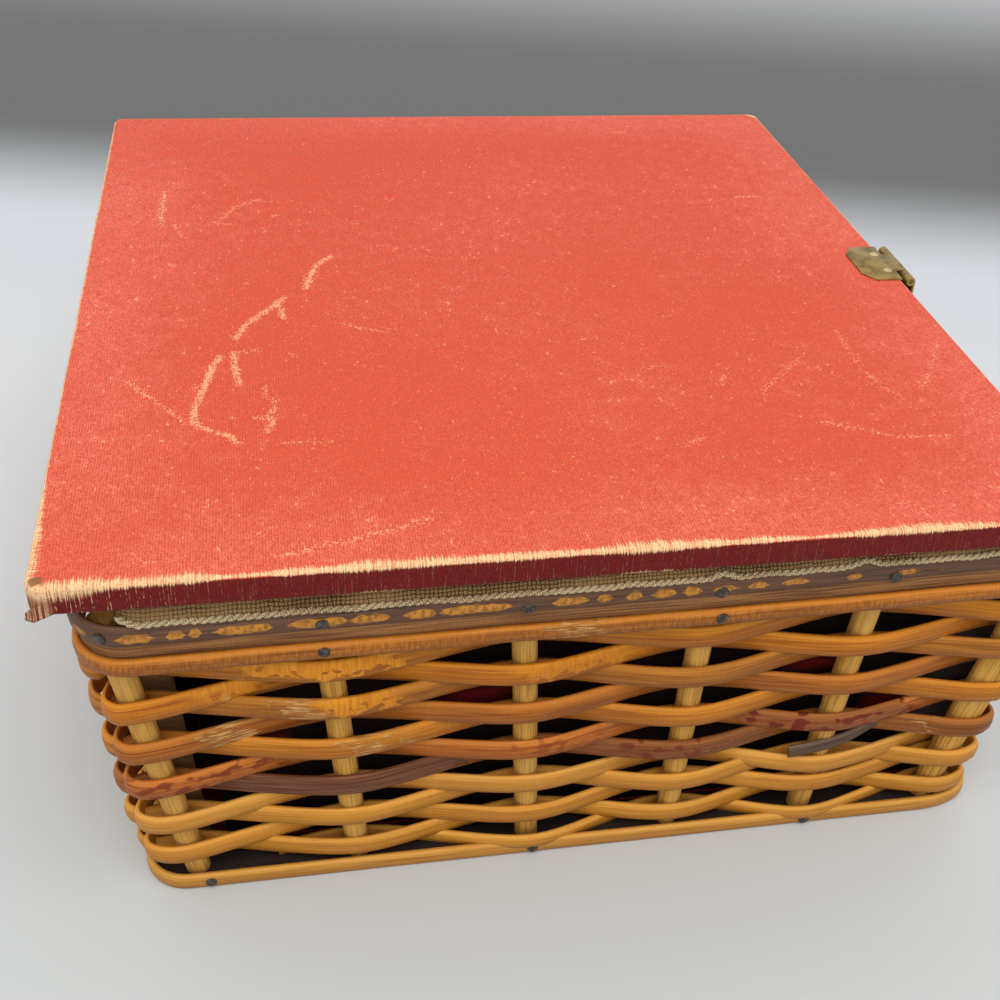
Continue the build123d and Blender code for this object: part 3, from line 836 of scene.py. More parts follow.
@dataclass(frozen=True)
class StudioFloor:
    """Pale plain floor with painted light in a bright band behind the box, painted shade in a darker band
    beyond it that stands for the backdrop, and a lighter tone far off.
    """

    near: Colour = (208, 212, 210)
    middle: Colour = (222, 224, 224)
    bright: Colour = (216, 219, 223)
    shaded_backdrop: Colour = (105, 106, 104)
    far: Colour = (206, 207, 208)
    tilt: float = 0.217

    def make(self) -> bpy.types.Material:
        """Makes the material."""
        p = Paint("studio_floor")
        away = p.x - p.y * self.tilt
        colour = p.mix(away.ramp(-0.18, 0.02), self.near, self.middle)
        # Painted light: a bright band on the floor behind the box.
        colour = p.mix(away.ramp(0.12, 0.24), colour, self.bright)
        # Painted shade: a darker band beyond it for the backdrop in shade, then lighter again far off.
        colour = p.mix(away.ramp(0.26, 0.42), colour, self.shaded_backdrop)
        colour = p.mix(away.ramp(0.58, 1.02), colour, self.far)
        return p.finish(colour, 0.6, None, 0.0, Specular_IOR_Level=0.3)


# Where things stand


@dataclass(frozen=True)
class Walls:
    """The leaning walls of the basket, as the frame has them, and how the near wall's stakes drift."""

    rim: tuple[float, float] = (139.5, 125.0)
    height: float = 100.3
    lean: float = 3.9
    setback: float = 6.85
    corners: tuple[float, float] = (6.0, 18.0)
    bow: float = 4.5
    count: int = 6
    reed_radius: float = 3.25
    drift_top: tuple[float, ...] = (5.3, 3.8, 2.0, -0.5, -2.0, -4.7)
    drift_foot: tuple[float, ...] = (-2.6, -0.3, -3.5, -1.7, -1.1, 0.0)
    right_pull: float = -4.5
    tilt_places: tuple[float, ...] = (-120, -80, -30, 20, 70, 115)
    tilt_rises: tuple[float, ...] = (2.4, 1.7, 0.5, 0.0, -0.7, -1.5)

    def plane(self, wall: int, z: float) -> float:
        """Distance from the centre to a wall's row of stakes at a height."""
        return self.rim[wall % 2] - self.setback - (self.height - z) * math.tan(math.radians(self.lean))

    def offsets(self, wall: int, z: float) -> list[float]:
        """Where each stake of a wall stands along it at a height."""
        top = self.plane(wall + 1, self.height)
        reach = (top - self.corners[wall % 2]) * self.plane(wall + 1, z) / top
        bow = {0: -self.bow, 2: self.bow}.get(wall, 0.0)
        shares = [2 * k / (self.count - 1) - 1 for k in range(self.count)]
        places = [reach * share + bow * (1 - share**2) for share in shares]
        if WALLS[wall] == "left":
            up = z / self.height
            places = [v - a * up - b * (1 - up) for v, a, b in zip(places, self.drift_top, self.drift_foot)]
        return places

    def pull(self, points: np.ndarray, left: float = 0.0) -> np.ndarray:
        """Pulls the near corners of the weave out to where they stand in the photograph.

        Args:
            points: places in metres.
            left: how far to pull the corner by the hinges, in millimetres.

        Returns:
            The new places.
        """
        x, y, z = points.T / MM
        right = self.right_pull * eased(y, -106, -116) * eased(x, -60, -120) * (1 - eased(z, 45, 90))
        pulled = points.copy()
        pulled[:, 1] += (right + left * eased(y, 106, 115) * eased(x, -113, -121) * eased(z, -6, 18)) * MM
        return pulled

    def tilted(self, points: np.ndarray, amount: float = 1.0) -> np.ndarray:
        """Drops the rim by the near hinge and raises it by the hasp, as it stands in the photograph."""
        x, y, _ = points.T / MM
        rise = np.interp(y, self.tilt_places, self.tilt_rises)
        moved = points.copy()
        moved[:, 2] += amount * rise * eased(0 - x, 60, 125) * MM
        return moved

    @staticmethod
    def turned(wall: int, out: float, along: float, z: float) -> tuple[float, float, float]:
        """A point in metres from its distance out, its place along a wall and its height."""
        for _ in range(wall):
            out, along = -along, out
        return (out * MM, along * MM, z * MM)


walls = Walls()


class Mark(Enum):
    """What a stretch of cane shows; each is painted on the mesh under its value."""

    DARK = "dark"
    BARE = "bare"
    SPOTS = "spots"
    FRAY = "fray"


@dataclass(frozen=True)
class Stretch:
    """A marked stretch of the near wall, from one place along Y to another in millimetres."""

    mark: Mark
    start: float
    end: float
    strength: float = 1.0


def marked(kind: Mark, marks: tuple[Stretch, ...], at: np.ndarray, near: np.ndarray) -> np.ndarray:
    """How strongly each point of a strip shows one kind of mark.

    Args:
        kind: the kind of mark.
        marks: the marked stretches.
        at: where each point counts as lying along the near wall, in millimetres.
        near: whether it is on the near wall.

    Returns:
        The strength at each point, from 0 to 1.
    """
    value = np.zeros(len(at))
    for stretch in marks:
        if stretch.mark is kind:
            here = brushed(at, stretch.start, stretch.end) * stretch.strength
            value = np.maximum(value, np.where(near, here, 0.0))
    return value


@dataclass
class Row:
    """One row of weaving: its colours, its level at each near stake, its marks there, and its width."""

    body: Colour
    deep: Colour
    levels: tuple[float, ...]
    marks: tuple[Stretch, ...] = ()
    width: float = 6.7
    grain: float = 1.0
    start: float | None = None

    def level(self, wall: int, stake: int) -> float:
        """The row's height at a stake, in millimetres."""
        if WALLS[wall] == "left":
            return self.levels[stake]
        even = sum(self.levels) / len(self.levels)
        if WALLS[wall] == "back":
            return even + (self.levels[0] - even) * stake / 5
        return even + (self.levels[-1] - even) * (1 - stake / 5) if WALLS[wall] == "front" else even


@dataclass
class Weave:
    """The woven body: stakes, and twelve rows of split cane round them."""

    rows: list[Row]
    reach: float = 4.6
    over_band: float = 6.4
    flat: float = 13.0
    end_flat: float = 4.0
    corner_radius: float = 5.0
    wrap: float = 16.0
    tight: float = 2.4
    loose: float = -2.5
    thickness: float = 1.4
    uneven: float = 0.25
    stake_end: float = 0.65
    stake_head: float = 3.2
    left_pulls: tuple[float, float] = (2.2, 3.7)
    step: float = 1.6
    near_x: float = -110.0
    near_y: float = 128.0
    cut_width: float = 4.3
    cut_thickness: float = 1.2
    cut: tuple[tuple[float, float, float], ...] = (
        (4.1, -58.0, 30.6), (4.2, -66.0, 31.6), (3.4, -75.0, 32.8), (-0.5, -84.0, 34.6), (-4.2, -93.0, 36.2),
    )

    def corner(self, wall: int, outside: bool, z: float, front: float) -> list[tuple]:
        """Points of the bend after a wall's last stake, which the row passes outside or inside."""
        side = wall % 2 == 0
        side_outside = outside == side
        side_reach = front if side_outside else self.loose
        front_reach = self.tight if side_outside else front
        here, there = (side_reach, front_reach) if side else (front_reach, side_reach)
        out = walls.plane(wall, z) + here - self.corner_radius
        along = walls.plane(wall + 1, z) + there - self.corner_radius
        start = 0.0 if outside else -self.wrap
        found = []
        for k in range(3):
            angle = math.radians(start + k * (90 + self.wrap) / 2)
            place = (out + self.corner_radius * math.cos(angle), along + self.corner_radius * math.sin(angle))
            found.append(walls.turned(wall, *place, z))
        return found

    def path(self, number: int, rng: np.random.Generator) -> list[tuple]:
        """Points that a row's centre line is drawn towards, all round the basket.

        Args:
            number: the row, counted from 1 at the top.
            rng: gives the hand-made unevenness.

        Returns:
            The points, starting where the row is hidden behind a stake.
        """
        row = self.rows[number - 1]
        front = self.over_band if row.start is not None else self.reach
        points = []
        outside = number % 2 == 0
        for wall in range(len(WALLS)):
            last_stake = walls.count - 1
            for k, along in enumerate(walls.offsets(wall, row.level(wall, 0))):
                z = row.level(wall, k)
                out = walls.plane(wall, z) + (front if outside else -self.reach)
                flat = self.end_flat if k in (0, last_stake) else self.flat
                rise = rng.uniform(-self.uneven, self.uneven)
                for end in (-flat / 2, flat / 2):
                    points.append(walls.turned(wall, out, along + end, z + rise))
                last, outside = outside, not outside
            points += self.corner(wall, last, row.level(wall, last_stake), front)
        if row.start is None:
            first = 2 if number % 2 == 0 else 0
            return points[first:] + points[:first]
        left = WALLS.index("left")
        first = left * (2 * walls.count + 3) + 2
        z = row.levels[0]
        begin = walls.turned(left, walls.plane(left, z) - 1.0, -row.start, z - 0.6)
        return [begin] + points[first:] + points[: first - 3 - 2]

    def mark(self, piece: bpy.types.Object, row: Row, rng: np.random.Generator) -> None:
        """Paints a row's marks: those seen on the near wall, and a few of its own elsewhere."""
        places = points_of(piece) / MM
        along = number_of(piece, "along")
        ragged = jagged(number_of(piece, "across"))
        near = (places[:, 0] < self.near_x) & (np.abs(places[:, 1]) < self.near_y)
        for kind in Mark:
            value = marked(kind, row.marks, places[:, 1] + ragged, near)
            for _ in range({Mark.FRAY: 3, Mark.BARE: 2, Mark.SPOTS: 1}.get(kind, 0)):
                start = rng.uniform(0.02, 0.98) * float(along.max())
                length = rng.uniform(3, 7) if kind is Mark.FRAY else rng.uniform(15, 40)
                here = brushed(along / MM + ragged, start / MM, start / MM + length) * rng.uniform(0.6, 1.0)
                value = np.maximum(value, np.where(near, 0.0, here))
            paint(piece, kind.value, value)

    def ring(self, strip: Growth, number: int, row: Row) -> None:
        """Builds and dresses one row."""
        rng = np.random.default_rng(40 + number)
        curve = path_curve([self.path(number, rng)], row.start is None, True)
        sizes = {"Width": row.width * MM, "Thickness": self.thickness * MM, "Step": self.step * MM}
        finish = Cane(f"cane_{number:02d}", row.body, row.deep, seed=float(number), grain=row.grain).make()
        piece = strip.grow(f"cane_row_{number:02d}", curve, finish, **sizes, Seed=number)
        move(piece, walls.pull(points_of(piece), self.left_pulls[number % 2]))
        self.mark(piece, row, rng)
        belongs(piece, "basket", f"weaver_{number:02d}")
        log.info("row %d: %d faces", number, len(piece.data.polygons))

    def cut_end(self, strip: Growth) -> None:
        """The dark cane that was cut off in front of the fifth stake, with row 8 over its foot."""
        left = WALLS.index("left")
        points = [walls.turned(left, walls.plane(left, z) + out, -y, z) for out, y, z in self.cut]
        cane = Cane("cane_cut", (112, 86, 66), (70, 50, 38), (66, 48, 38), seed=15.0)
        sizes = {"Width": self.cut_width * MM, "Thickness": self.cut_thickness * MM, "Step": self.step * MM}
        curve = path_curve([points], False, True)
        piece = strip.grow("cane_cut_end", curve, cane.make(), **sizes, Seed=15)
        belongs(piece, "basket")

    def stakes(self) -> None:
        """Builds and dresses the stakes, one piece for each wall."""
        reed = round_reed()
        finish = Reed("stake_reed", (214, 158, 70), (164, 110, 44)).make()
        for wall, name in enumerate(WALLS):
            ends = []
            for z in (self.stake_end, walls.height - self.stake_head):
                out = walls.plane(wall, z)
                ends.append([walls.turned(wall, out, along, z) for along in walls.offsets(wall, z)])
            curve = path_curve(list(zip(*ends)), False, False)
            piece = reed.grow(f"reeds_{name}", curve, finish, Radius=walls.reed_radius * MM, Seed=wall)
            move(piece, walls.pull(points_of(piece)))
            belongs(piece, "basket", f"stakes_{name}")
            log.info("stakes of the %s wall: %d faces", name, len(piece.data.polygons))

    def build(self) -> None:
        """Builds and dresses every row and every stake."""
        strip = cane_strip()
        for number, row in enumerate(self.rows, start=1):
            self.ring(strip, number, row)
        self.cut_end(strip)
        self.stakes()


@dataclass
class Band:
    """A strip of bamboo or cane nailed round the basket."""

    node: str
    name: str
    slot: str
    finish: Cane | BambooSkin
    loop: Loop
    thickness: float
    edge: float = 0.6
    wobble: float = 0.25
    scrapes: tuple[tuple[float, float], ...] = ()
    marks: tuple[Stretch, ...] = ()
    width: float | None = None
    lift: float = 0.0
    tilt: float = 1.0
    step: float = 1.2
    near_x: float = -120.0
    scraped_x: float = -136.0

    def build(self) -> None:
        """Builds and dresses the band."""
        low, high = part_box(self.node)
        width = self.width * MM if self.width else high.z - low.z
        level = low.z + width / 2 + self.lift * MM
        points = [(x * MM, y * MM, level) for x, y in self.loop.inside(self.thickness / 2).points()]
        sizes = {"Width": width, "Thickness": self.thickness * MM, "Edge": self.edge, "Step": self.step * MM}
        sizes.update(Wobble=self.wobble * MM, Seed=len(self.name))
        curve = path_curve([points], True, False)
        piece = cane_strip().grow(self.name, curve, self.finish.make(), **sizes)
        self.mark(piece)
        move(piece, walls.tilted(walls.pull(points_of(piece)), self.tilt))
        belongs(piece, "basket", self.node)
        log.info("%s: %d faces", self.name, len(piece.data.polygons))

    def mark(self, piece: bpy.types.Object) -> None:
        """Paints where the skin is scraped away, and the cane's marks."""
        places = points_of(piece) / MM
        paint(piece, "scrape", self.scraped(places, number_of(piece, "along") / MM))
        at = places[:, 1] + jagged(number_of(piece, "across"))
        for kind in Mark:
            paint(piece, kind.value, marked(kind, self.marks, at, places[:, 0] < self.near_x))

    def scraped(self, places: np.ndarray, along: np.ndarray) -> np.ndarray:
        """How tall the scraped place is at each point, as a share of half the band's width."""
        bare = np.zeros(len(places))
        if not self.scrapes:
            return bare
        near = places[:, 0] < self.scraped_x
        for start, end in self.scrapes:
            middle, half = (start + end) / 2, abs(start - end) / 2 + 0.5
            tall = 0.5 if start > -20 else 0.36
            lens = tall * np.clip(1 - np.abs((places[:, 1] - middle) / half) ** 6, 0, None)
            bare = np.maximum(bare, np.where(near, lens, 0))
        rng = np.random.default_rng(len(self.node))
        at = 0.0
        while at < along.max():
            half = rng.uniform(1.5, 7)
            lens = rng.uniform(0.3, 0.62) * np.clip(1 - np.abs((along - at - half) / half) ** 3, 0, None)
            bare = np.maximum(bare, np.where(near, 0, lens))
            at += 2 * half + rng.uniform(3, 14)
        return bare


@dataclass(frozen=True)
class NailRing:
    """A ring of nails: its band, which stakes have one, and where those on the near wall are."""

    node: str
    loop: Loop
    first: int
    step: int
    drop: float
    tilt: float
    near: tuple[float, ...] = ()


@dataclass
class Rim:
    """Bands, the strip between them, the hoop inside, and every nail."""

    upper: Loop = Loop((139.5, 125.0), 14.0)
    foot: Loop = Loop((131.97, 117.47), 12.0)
    backing_thickness: float = 0.9
    upper_thickness: float = 1.8
    upper_width: float = 5.9
    lower_width: float = 4.5
    bottom_thickness: float = 1.6
    bottom_width: float = 4.6
    nail_radius: float = 1.65
    nail_height: float = 0.5
    scrapes: tuple[tuple[float, float], ...] = (
        (112.5, 105.4), (102.2, 98.9), (96.7, 95.0), (91.7, 78.9), (75.1, 62.1), (60.7, 52.7), (48.6, 42.1),
        (40.9, 24.3), (13.6, 9.7), (9.0, 6.8), (3.0, 0.8), (-4.3, -6.5), (-10.5, -15.4), (-17.9, -21.1),
        (-24.9, -30.4), (-33.7, -38.7), (-42.8, -48.9), (-58.8, -62.1), (-72.6, -76.9),
    )

    def build(self) -> None:
        """Builds and dresses the bands, the hoop and the nails."""
        skin = BambooSkin("bamboo_skin", (114, 72, 42), (76, 44, 25), (214, 140, 30))
        orange = Cane("lower_band_cane", (204, 124, 36), (136, 74, 20), (116, 72, 42), 11.0, 0.4, 0.8, 0.7)
        golden = Cane("bottom_band_cane", (210, 150, 62), (170, 108, 38), (146, 94, 44), 12.0, 0.45, 0.8)
        dull = Cane("backing_cane", (176, 124, 74), (104, 66, 40), (110, 76, 52), 13.0, 0.6)
        frayed = (Stretch(Mark.FRAY, 15.5, 1.5, 0.8),)
        behind = self.upper.inside(self.upper_thickness + 0.05)
        thick = self.upper_thickness
        for band in (
            Band("rim_band_upper", "bamboo_band_upper", "dark_bamboo", skin, self.upper, thick,
                 0.45, 0.45, self.scrapes, width=self.upper_width, lift=0.7),
            Band("rim_band_lower", "bamboo_band_lower", "dark_bamboo", orange, self.upper, thick,
                 0.7, 0.4, marks=frayed, width=self.lower_width, tilt=0.85),
            Band("bottom_band", "cane_band_bottom", "pale_cane", golden, self.foot, self.bottom_thickness,
                 0.7, 0.1, width=self.bottom_width, lift=0.12, tilt=0.0),
            Band("rim_backing", "strip_between_bands", "dark_bamboo", dull, behind, self.backing_thickness,
                 0.4, 0.1),
        ):
            band.build()
        # The hoop's cane is painted dark: painted shade for the gap under the lid.
        dress("rim_hoop", Cane("hoop_cane_painted_shade", (120, 86, 52), (78, 52, 32), (90, 62, 44), 14.0, 0.6).make())
        self.nails()

    def nails(self) -> None:
        """Puts a hammered head on every nail, one piece for each ring and each hinge leaf."""
        tree = nail_heads()
        iron = OldMetal("nail_iron", (104, 92, 78), (46, 41, 36), (0.42, 0.7), 0.2, 900.0).make()
        for ring in (
            NailRing("rim_nails_upper", self.upper, 0, 1, 0.6, 0.6),
            NailRing("rim_nails_lower", self.upper, 1, 2, 0.1, 0.7, (67.7, -28.6, -113.2)),
            NailRing("bottom_nails", self.foot, 0, 2, 0.3, 0.0, (100.0, 12.6, -67.7)),
        ):
            low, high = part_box(ring.node)
            z = (low.z + high.z) / 2 / MM - ring.drop
            points, facings = [], []
            for wall, name in enumerate(WALLS):
                places = walls.offsets(wall, z)[ring.first :: ring.step]
                if name == "left" and ring.near:
                    places = [-place for place in ring.near]
                for along in places:
                    out, face_out, face_along = ring.loop.face(wall, along)
                    place = walls.pull(np.array([walls.turned(wall, out, along, z)]))
                    points.append(tuple(walls.tilted(place, ring.tilt)[0]))
                    facings.append(walls.turned(wall, face_out / MM, face_along / MM, 0.0))
            self.heads(tree, ring.node, "basket", points, facings, iron)
        for side in ("left", "right"):
            for part, body in (("rim", "basket"), ("lid", "lid")):
                node = f"hinge_{side}_{part}_nails"
                low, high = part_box(node)
                radius = self.nail_radius * MM
                if part == "rim":
                    y, z, facing = low.y, (low.z + high.z) / 2, (0, 1, 0)
                else:
                    y, z, facing = (low.y + high.y) / 2, high.z, (0, 0, -1)
                ends = [(x, y, z) for x in (low.x + radius, high.x - radius)]
                self.heads(tree, node, body, ends, [facing] * 2, iron)

    def heads(
        self,
        tree: Growth,
        node: str,
        body: str,
        points: list[tuple],
        facings: list[tuple],
        finish: bpy.types.Material,
    ) -> None:
        """Grows one group of nail heads.

        Args:
            tree: the tree that makes heads.
            node: the CAD node that they stand for, whose name ends in nails.
            body: the body that they ride on.
            points: the heads' places.
            facings: the ways they face.
            finish: their material.
        """
        name = node.replace("nails", "nail_heads")
        mesh = bpy.data.meshes.new(name + "_points")
        mesh.from_pydata(points, [], [])
        layer = mesh.attributes.new("facing", "FLOAT_VECTOR", "POINT")
        layer.data.foreach_set("vector", [v for facing in facings for v in facing])
        sizes = {"Radius": self.nail_radius * MM, "Height": self.nail_height * MM, "Seed": len(name)}
        belongs(tree.grow(name, mesh, finish, **sizes), body, node)


@dataclass
class Tape:
    """The woven tape over the rim, with a twisted selvedge along its outer edge."""

    half: tuple[float, float] = (139.1, 124.6)
    corner: float = 13.6
    bottom: float = 100.5
    top: float = 105.75
    lean: float = 3.3
    width: float = 13.4
    thickness: float = 1.0
    start: float = 112.0
    step: float = 1.6
    gaps: tuple[float, ...] = (-27.2, -63.3)
    short_by: int = 12
    tilt: float = 0.8

    def outline(self) -> np.ndarray:
        """The tape's run in plan: from the near wall's hinge end round by the hasp to the back."""
        points = np.array(Loop(self.half, self.corner).points(10))
        ring = np.concatenate([points, points[:1]])
        steps = np.linalg.norm(np.diff(ring, axis=0), axis=1)
        at = np.concatenate([[0], np.cumsum(steps)])
        spots = np.arange(0, at[-1], self.step)
        even = np.stack([np.interp(spots, at, ring[:, k]) for k in (0, 1)], axis=1)
        first = int(np.argmin(np.hypot(even[:, 0] + self.half[0], even[:, 1] - self.start)))
        return np.roll(even, -first, axis=0)[: -self.short_by]

    def build(self) -> None:
        """Builds and dresses the tape and its selvedge."""
        line = self.outline()
        count = len(line)
        ahead = np.gradient(line, axis=0)
        ahead /= np.linalg.norm(ahead, axis=1)[:, None]
        out = np.stack([ahead[:, 1], -ahead[:, 0]], axis=1)
        rng = np.random.default_rng(7)
        at = np.arange(count) * self.step
        waves = [(rng.uniform(0.08, 0.3), rng.uniform(3.5, 30), rng.uniform(0, 6)) for _ in range(7)]
        wave = sum(size * np.sin(at / pitch * FULL_TURN + start) for size, pitch, start in waves)
        near = line[:, 0] < 1 - self.half[0]
        lift = sum(1.5 * np.exp(-(((line[:, 1] - gap) / 2.6) ** 2)) * near for gap in self.gaps)
        lift = lift + 2.8 * np.clip(1 - at / 5, 0, 1) ** 1.5 + wave * 0.5
        rise = self.top - self.bottom
        profile = [(0.25, -0.1), (-0.1, 0.12 * rise), (-1.0, 0.4 * rise), (-2.2, 0.7 * rise)]
        profile += [(-self.lean, 0.93 * rise), (-self.lean - 0.9, rise)]
        profile += [(-self.lean - 0.9 - k, rise) for k in (2.5, 5.0, 7.5, self.width - self.lean - 0.9)]
        front = np.zeros((count, len(profile), 3))
        back = np.zeros_like(front)
        for k, (reach, z) in enumerate(profile):
            loose = max(0.0, 1 - k / 4)
            for grid, depth, drop in ((front, 0.0, 0.0), (back, self.thickness * 0.6, self.thickness * 0.7)):
                shift = reach - depth + wave * 0.25 * loose
                grid[:, k, :2] = (line + out * shift[:, None]) * MM
                grid[:, k, 2] = (self.bottom + z - (drop if k > 2 else drop * 0.2) + lift * loose) * MM
        finish = PlainWeave("tape_weave", (170, 136, 90), (84, 58, 34), 1.0, 0.95, 0.9).make()
        piece = slab("rim_tape", front[::-1], back[::-1], finish)
        edge = np.column_stack([line + out * 0.15, self.bottom + 0.1 + lift]) * MM
        cream = PlainWeave("selvedge_thread", (226, 202, 160), (158, 128, 88), 0.5, 0.9, 0.8).make()
        curve = path_curve([edge], False, False)
        thread = twisted_thread().grow("rim_tape_selvedge", curve, cream, Seed=3, Wobble=0.45 * MM)
        paint(thread, "across", points_of(thread)[:, 2])
        for part, node in ((piece, "rim_braid"), (thread, None)):
            move(part, walls.tilted(points_of(part), self.tilt))
            belongs(part, "basket", node)


@dataclass
class Lining:
    """Cloth-covered cards inside the basket, a padded card on its base and one under the lid."""

    weave_depth: float = 5.65
    weave_gap: float = 0.6
    card: float = 1.2
    low: float = 5.3
    high: float = 96.8
    corner_gap: float = 10.0
    plump: float = 0.8
    wing: float = 6.0
    long_wing: float = 10.6
    bend: float = 1.5
    corner_card: float = 0.9
    corner_reach: float = 2.2
    hasp_reach: float = 4.0
    hasp_steps: tuple[float, ...] = (0.0, 1.5, 3.0, 4.5)
    corner_top: float = 92.0
    board: Loop = Loop((129.4, 114.9), 9.5)
    glimpses: tuple[tuple[float, float, float, float], ...] = (
        (81.2, 44.6, 3.5, 1.8), (29.0, 54.0, 9.0, 3.0), (-64.0, 55.6, 7.5, 2.6), (-89.3, 37.4, 6.5, 3.4),
    )

    def plane(self, wall: int, z: float) -> float:
        """Distance from the centre to a card's outer face at a height."""
        return walls.plane(wall, z) - self.weave_depth - self.weave_gap

    def swell(self, u: np.ndarray, v: np.ndarray) -> np.ndarray:
        """How full a padded face is, from 0 at its edges to 1 inside; u and v run from -1 to 1."""
        return (1 - np.abs(u) ** 14) ** 0.5 * (1 - np.abs(v) ** 10) ** 0.5

    def build(self) -> None:
        """Builds and dresses every lining piece."""
        red = PlainWeave("lining_weave", (150, 28, 34), (84, 12, 18), 0.62, 0.85, 0.4).make()
        for wall, name in enumerate(WALLS):
            length = 2 * (self.plane(wall + 1, self.low) - self.corner_gap)
            u, v = spread(90, 34)
            z = self.low + (v + 1) / 2 * (self.high - self.low)
            out = self.plane(wall, self.low) + (z - self.low) * math.tan(math.radians(walls.lean))
            wrinkle = 0.12 * np.sin(u * 23 + v * 3) * np.sin(v * 9 + u * 5)
            inner = out - self.card + 0.25 - (self.plump + wrinkle) * self.swell(u, v) * 0.6
            grids = []
            for depth in (inner, out - 0.05):
                grid = np.stack([depth, u * length / 2, z], axis=2)
                for _ in range(wall):
                    grid = np.stack([-grid[..., 1], grid[..., 0], grid[..., 2]], axis=2)
                grids.append(grid * MM)
            piece = slab(f"lining_cloth_{name}", *grids, red)
            self.mark(piece, name == "left", u.size)
            belongs(piece, "basket", f"lining_{name}")
        self.corner_cards()
        self.base()
        self.pad("lining_base", "lining_pad_base", "basket", red, 1)
        self.pad("lid_panel", "lining_pad_lid", "lid", red, -1)
        log.info("lining: six cloth pieces")

    def mark(self, piece: bpy.types.Object, near: bool, size: int) -> None:
        """Paints the cards' outer sides near-black as painted shade, but for glimpses of red cloth on the
        near wall.
        """
        places = points_of(piece) / MM
        # Every point of a card's outer side gets the near-black painted shade.
        card = np.arange(len(places)) >= size
        red = np.zeros(len(places))
        for y, z, half_y, half_z in self.glimpses if near else ():
            red += np.exp(-(((places[:, 1] - y) / half_y) ** 4) - ((places[:, 2] - z) / half_z) ** 4)
        paint(piece, "card", card * np.clip(1 - red, 0, 1))

    def corner_cards(self) -> None:
        """Angled strips of card behind the weave at the four corners: brown at the near-left corner, painted
        near-black as shade at the other three.
        """
        brown = Fibreboard("corner_card", (150, 102, 54), (108, 70, 34)).make()
        # A near-black copy of the card: painted shade for the corners that lie in shade.
        dark = Fibreboard("corner_card_painted_shade", (44, 26, 16), (26, 14, 9)).make()
        levels = np.linspace(self.low, self.corner_top, 12)
        for number, (side_x, side_y) in enumerate(CORNERS, start=1):
            grids = []
            reach = self.hasp_reach if number == 3 else self.corner_reach
            near_wing = self.wing if number == 2 else self.long_wing
            bend = self.bend
            for depth in (0.0, self.corner_card):
                wing = self.long_wing - depth
                rows = []
                for z in levels:
                    x, y = self.plane(0, z) - depth, self.plane(1, z) + reach - depth
                    row = [(x, y - near_wing + depth - reach), (x, y - near_wing / 2), (x, y - bend)]
                    if number == 3:
                        row += [(x, y + past) for past in self.hasp_steps]
                    else:
                        row += [(x - bend * 0.3, y - bend * 0.3)]
                        row += [(x - past, y) for past in (bend, wing / 2, wing)]
                    rows.append([(side_x * a, side_y * b, z) for a, b in row])
                grids.append(np.array(rows) * MM)
            piece = slab(f"corner_card_{number}", *grids, brown if number == 2 else dark)
            belongs(piece, "basket")

    def base(self) -> None:
        """The base board, let in round the stakes as far as the band, painted near-black as the shade under
        the weave.
        """
        low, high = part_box("base_board")
        # Near-black board: painted shade for the dark gaps at the foot of the weave.
        shaded_board = Fibreboard("base_wood_painted_shade", (38, 22, 12), (20, 11, 7), 9.0).make()
        piece = prism("base_board_wood", self.board.points(), low.z + 0.05 * MM, high.z - MM, shaded_board)
        belongs(piece, "basket", "base_board")

    def pad(self, node: str, name: str, body: str, finish: bpy.types.Material, way: int) -> None:
        """A flat card in padded cloth, in the space of its CAD node.

        Args:
            node: the CAD node.
            name: the piece's name.
            body: the body that it rides on.
            finish: its material.
            way: 1 where the padded face looks up, -1 where it looks down.
        """
        low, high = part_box(node)
        u, v = spread(100, 90)
        x = (low.x + high.x) / 2 + u * (high.x - low.x) / 2
        y = (low.y + high.y) / 2 + v * (high.y - low.y) / 2
        flat, face = (low.z, high.z) if way > 0 else (high.z, low.z)
        soft = 0.08 * np.sin(u * 17 + v * 2) * np.sin(v * 13 - u * 4)
        plump = face + way * (self.swell(u, v) - 1 + soft * self.swell(u, v)) * 0.7 * MM
        front, back = (np.stack([x, y, z], axis=2)[::way] for z in (plump, np.full_like(x, flat)))
        piece = slab(name, front, back, finish)
        belongs(piece, body, node)


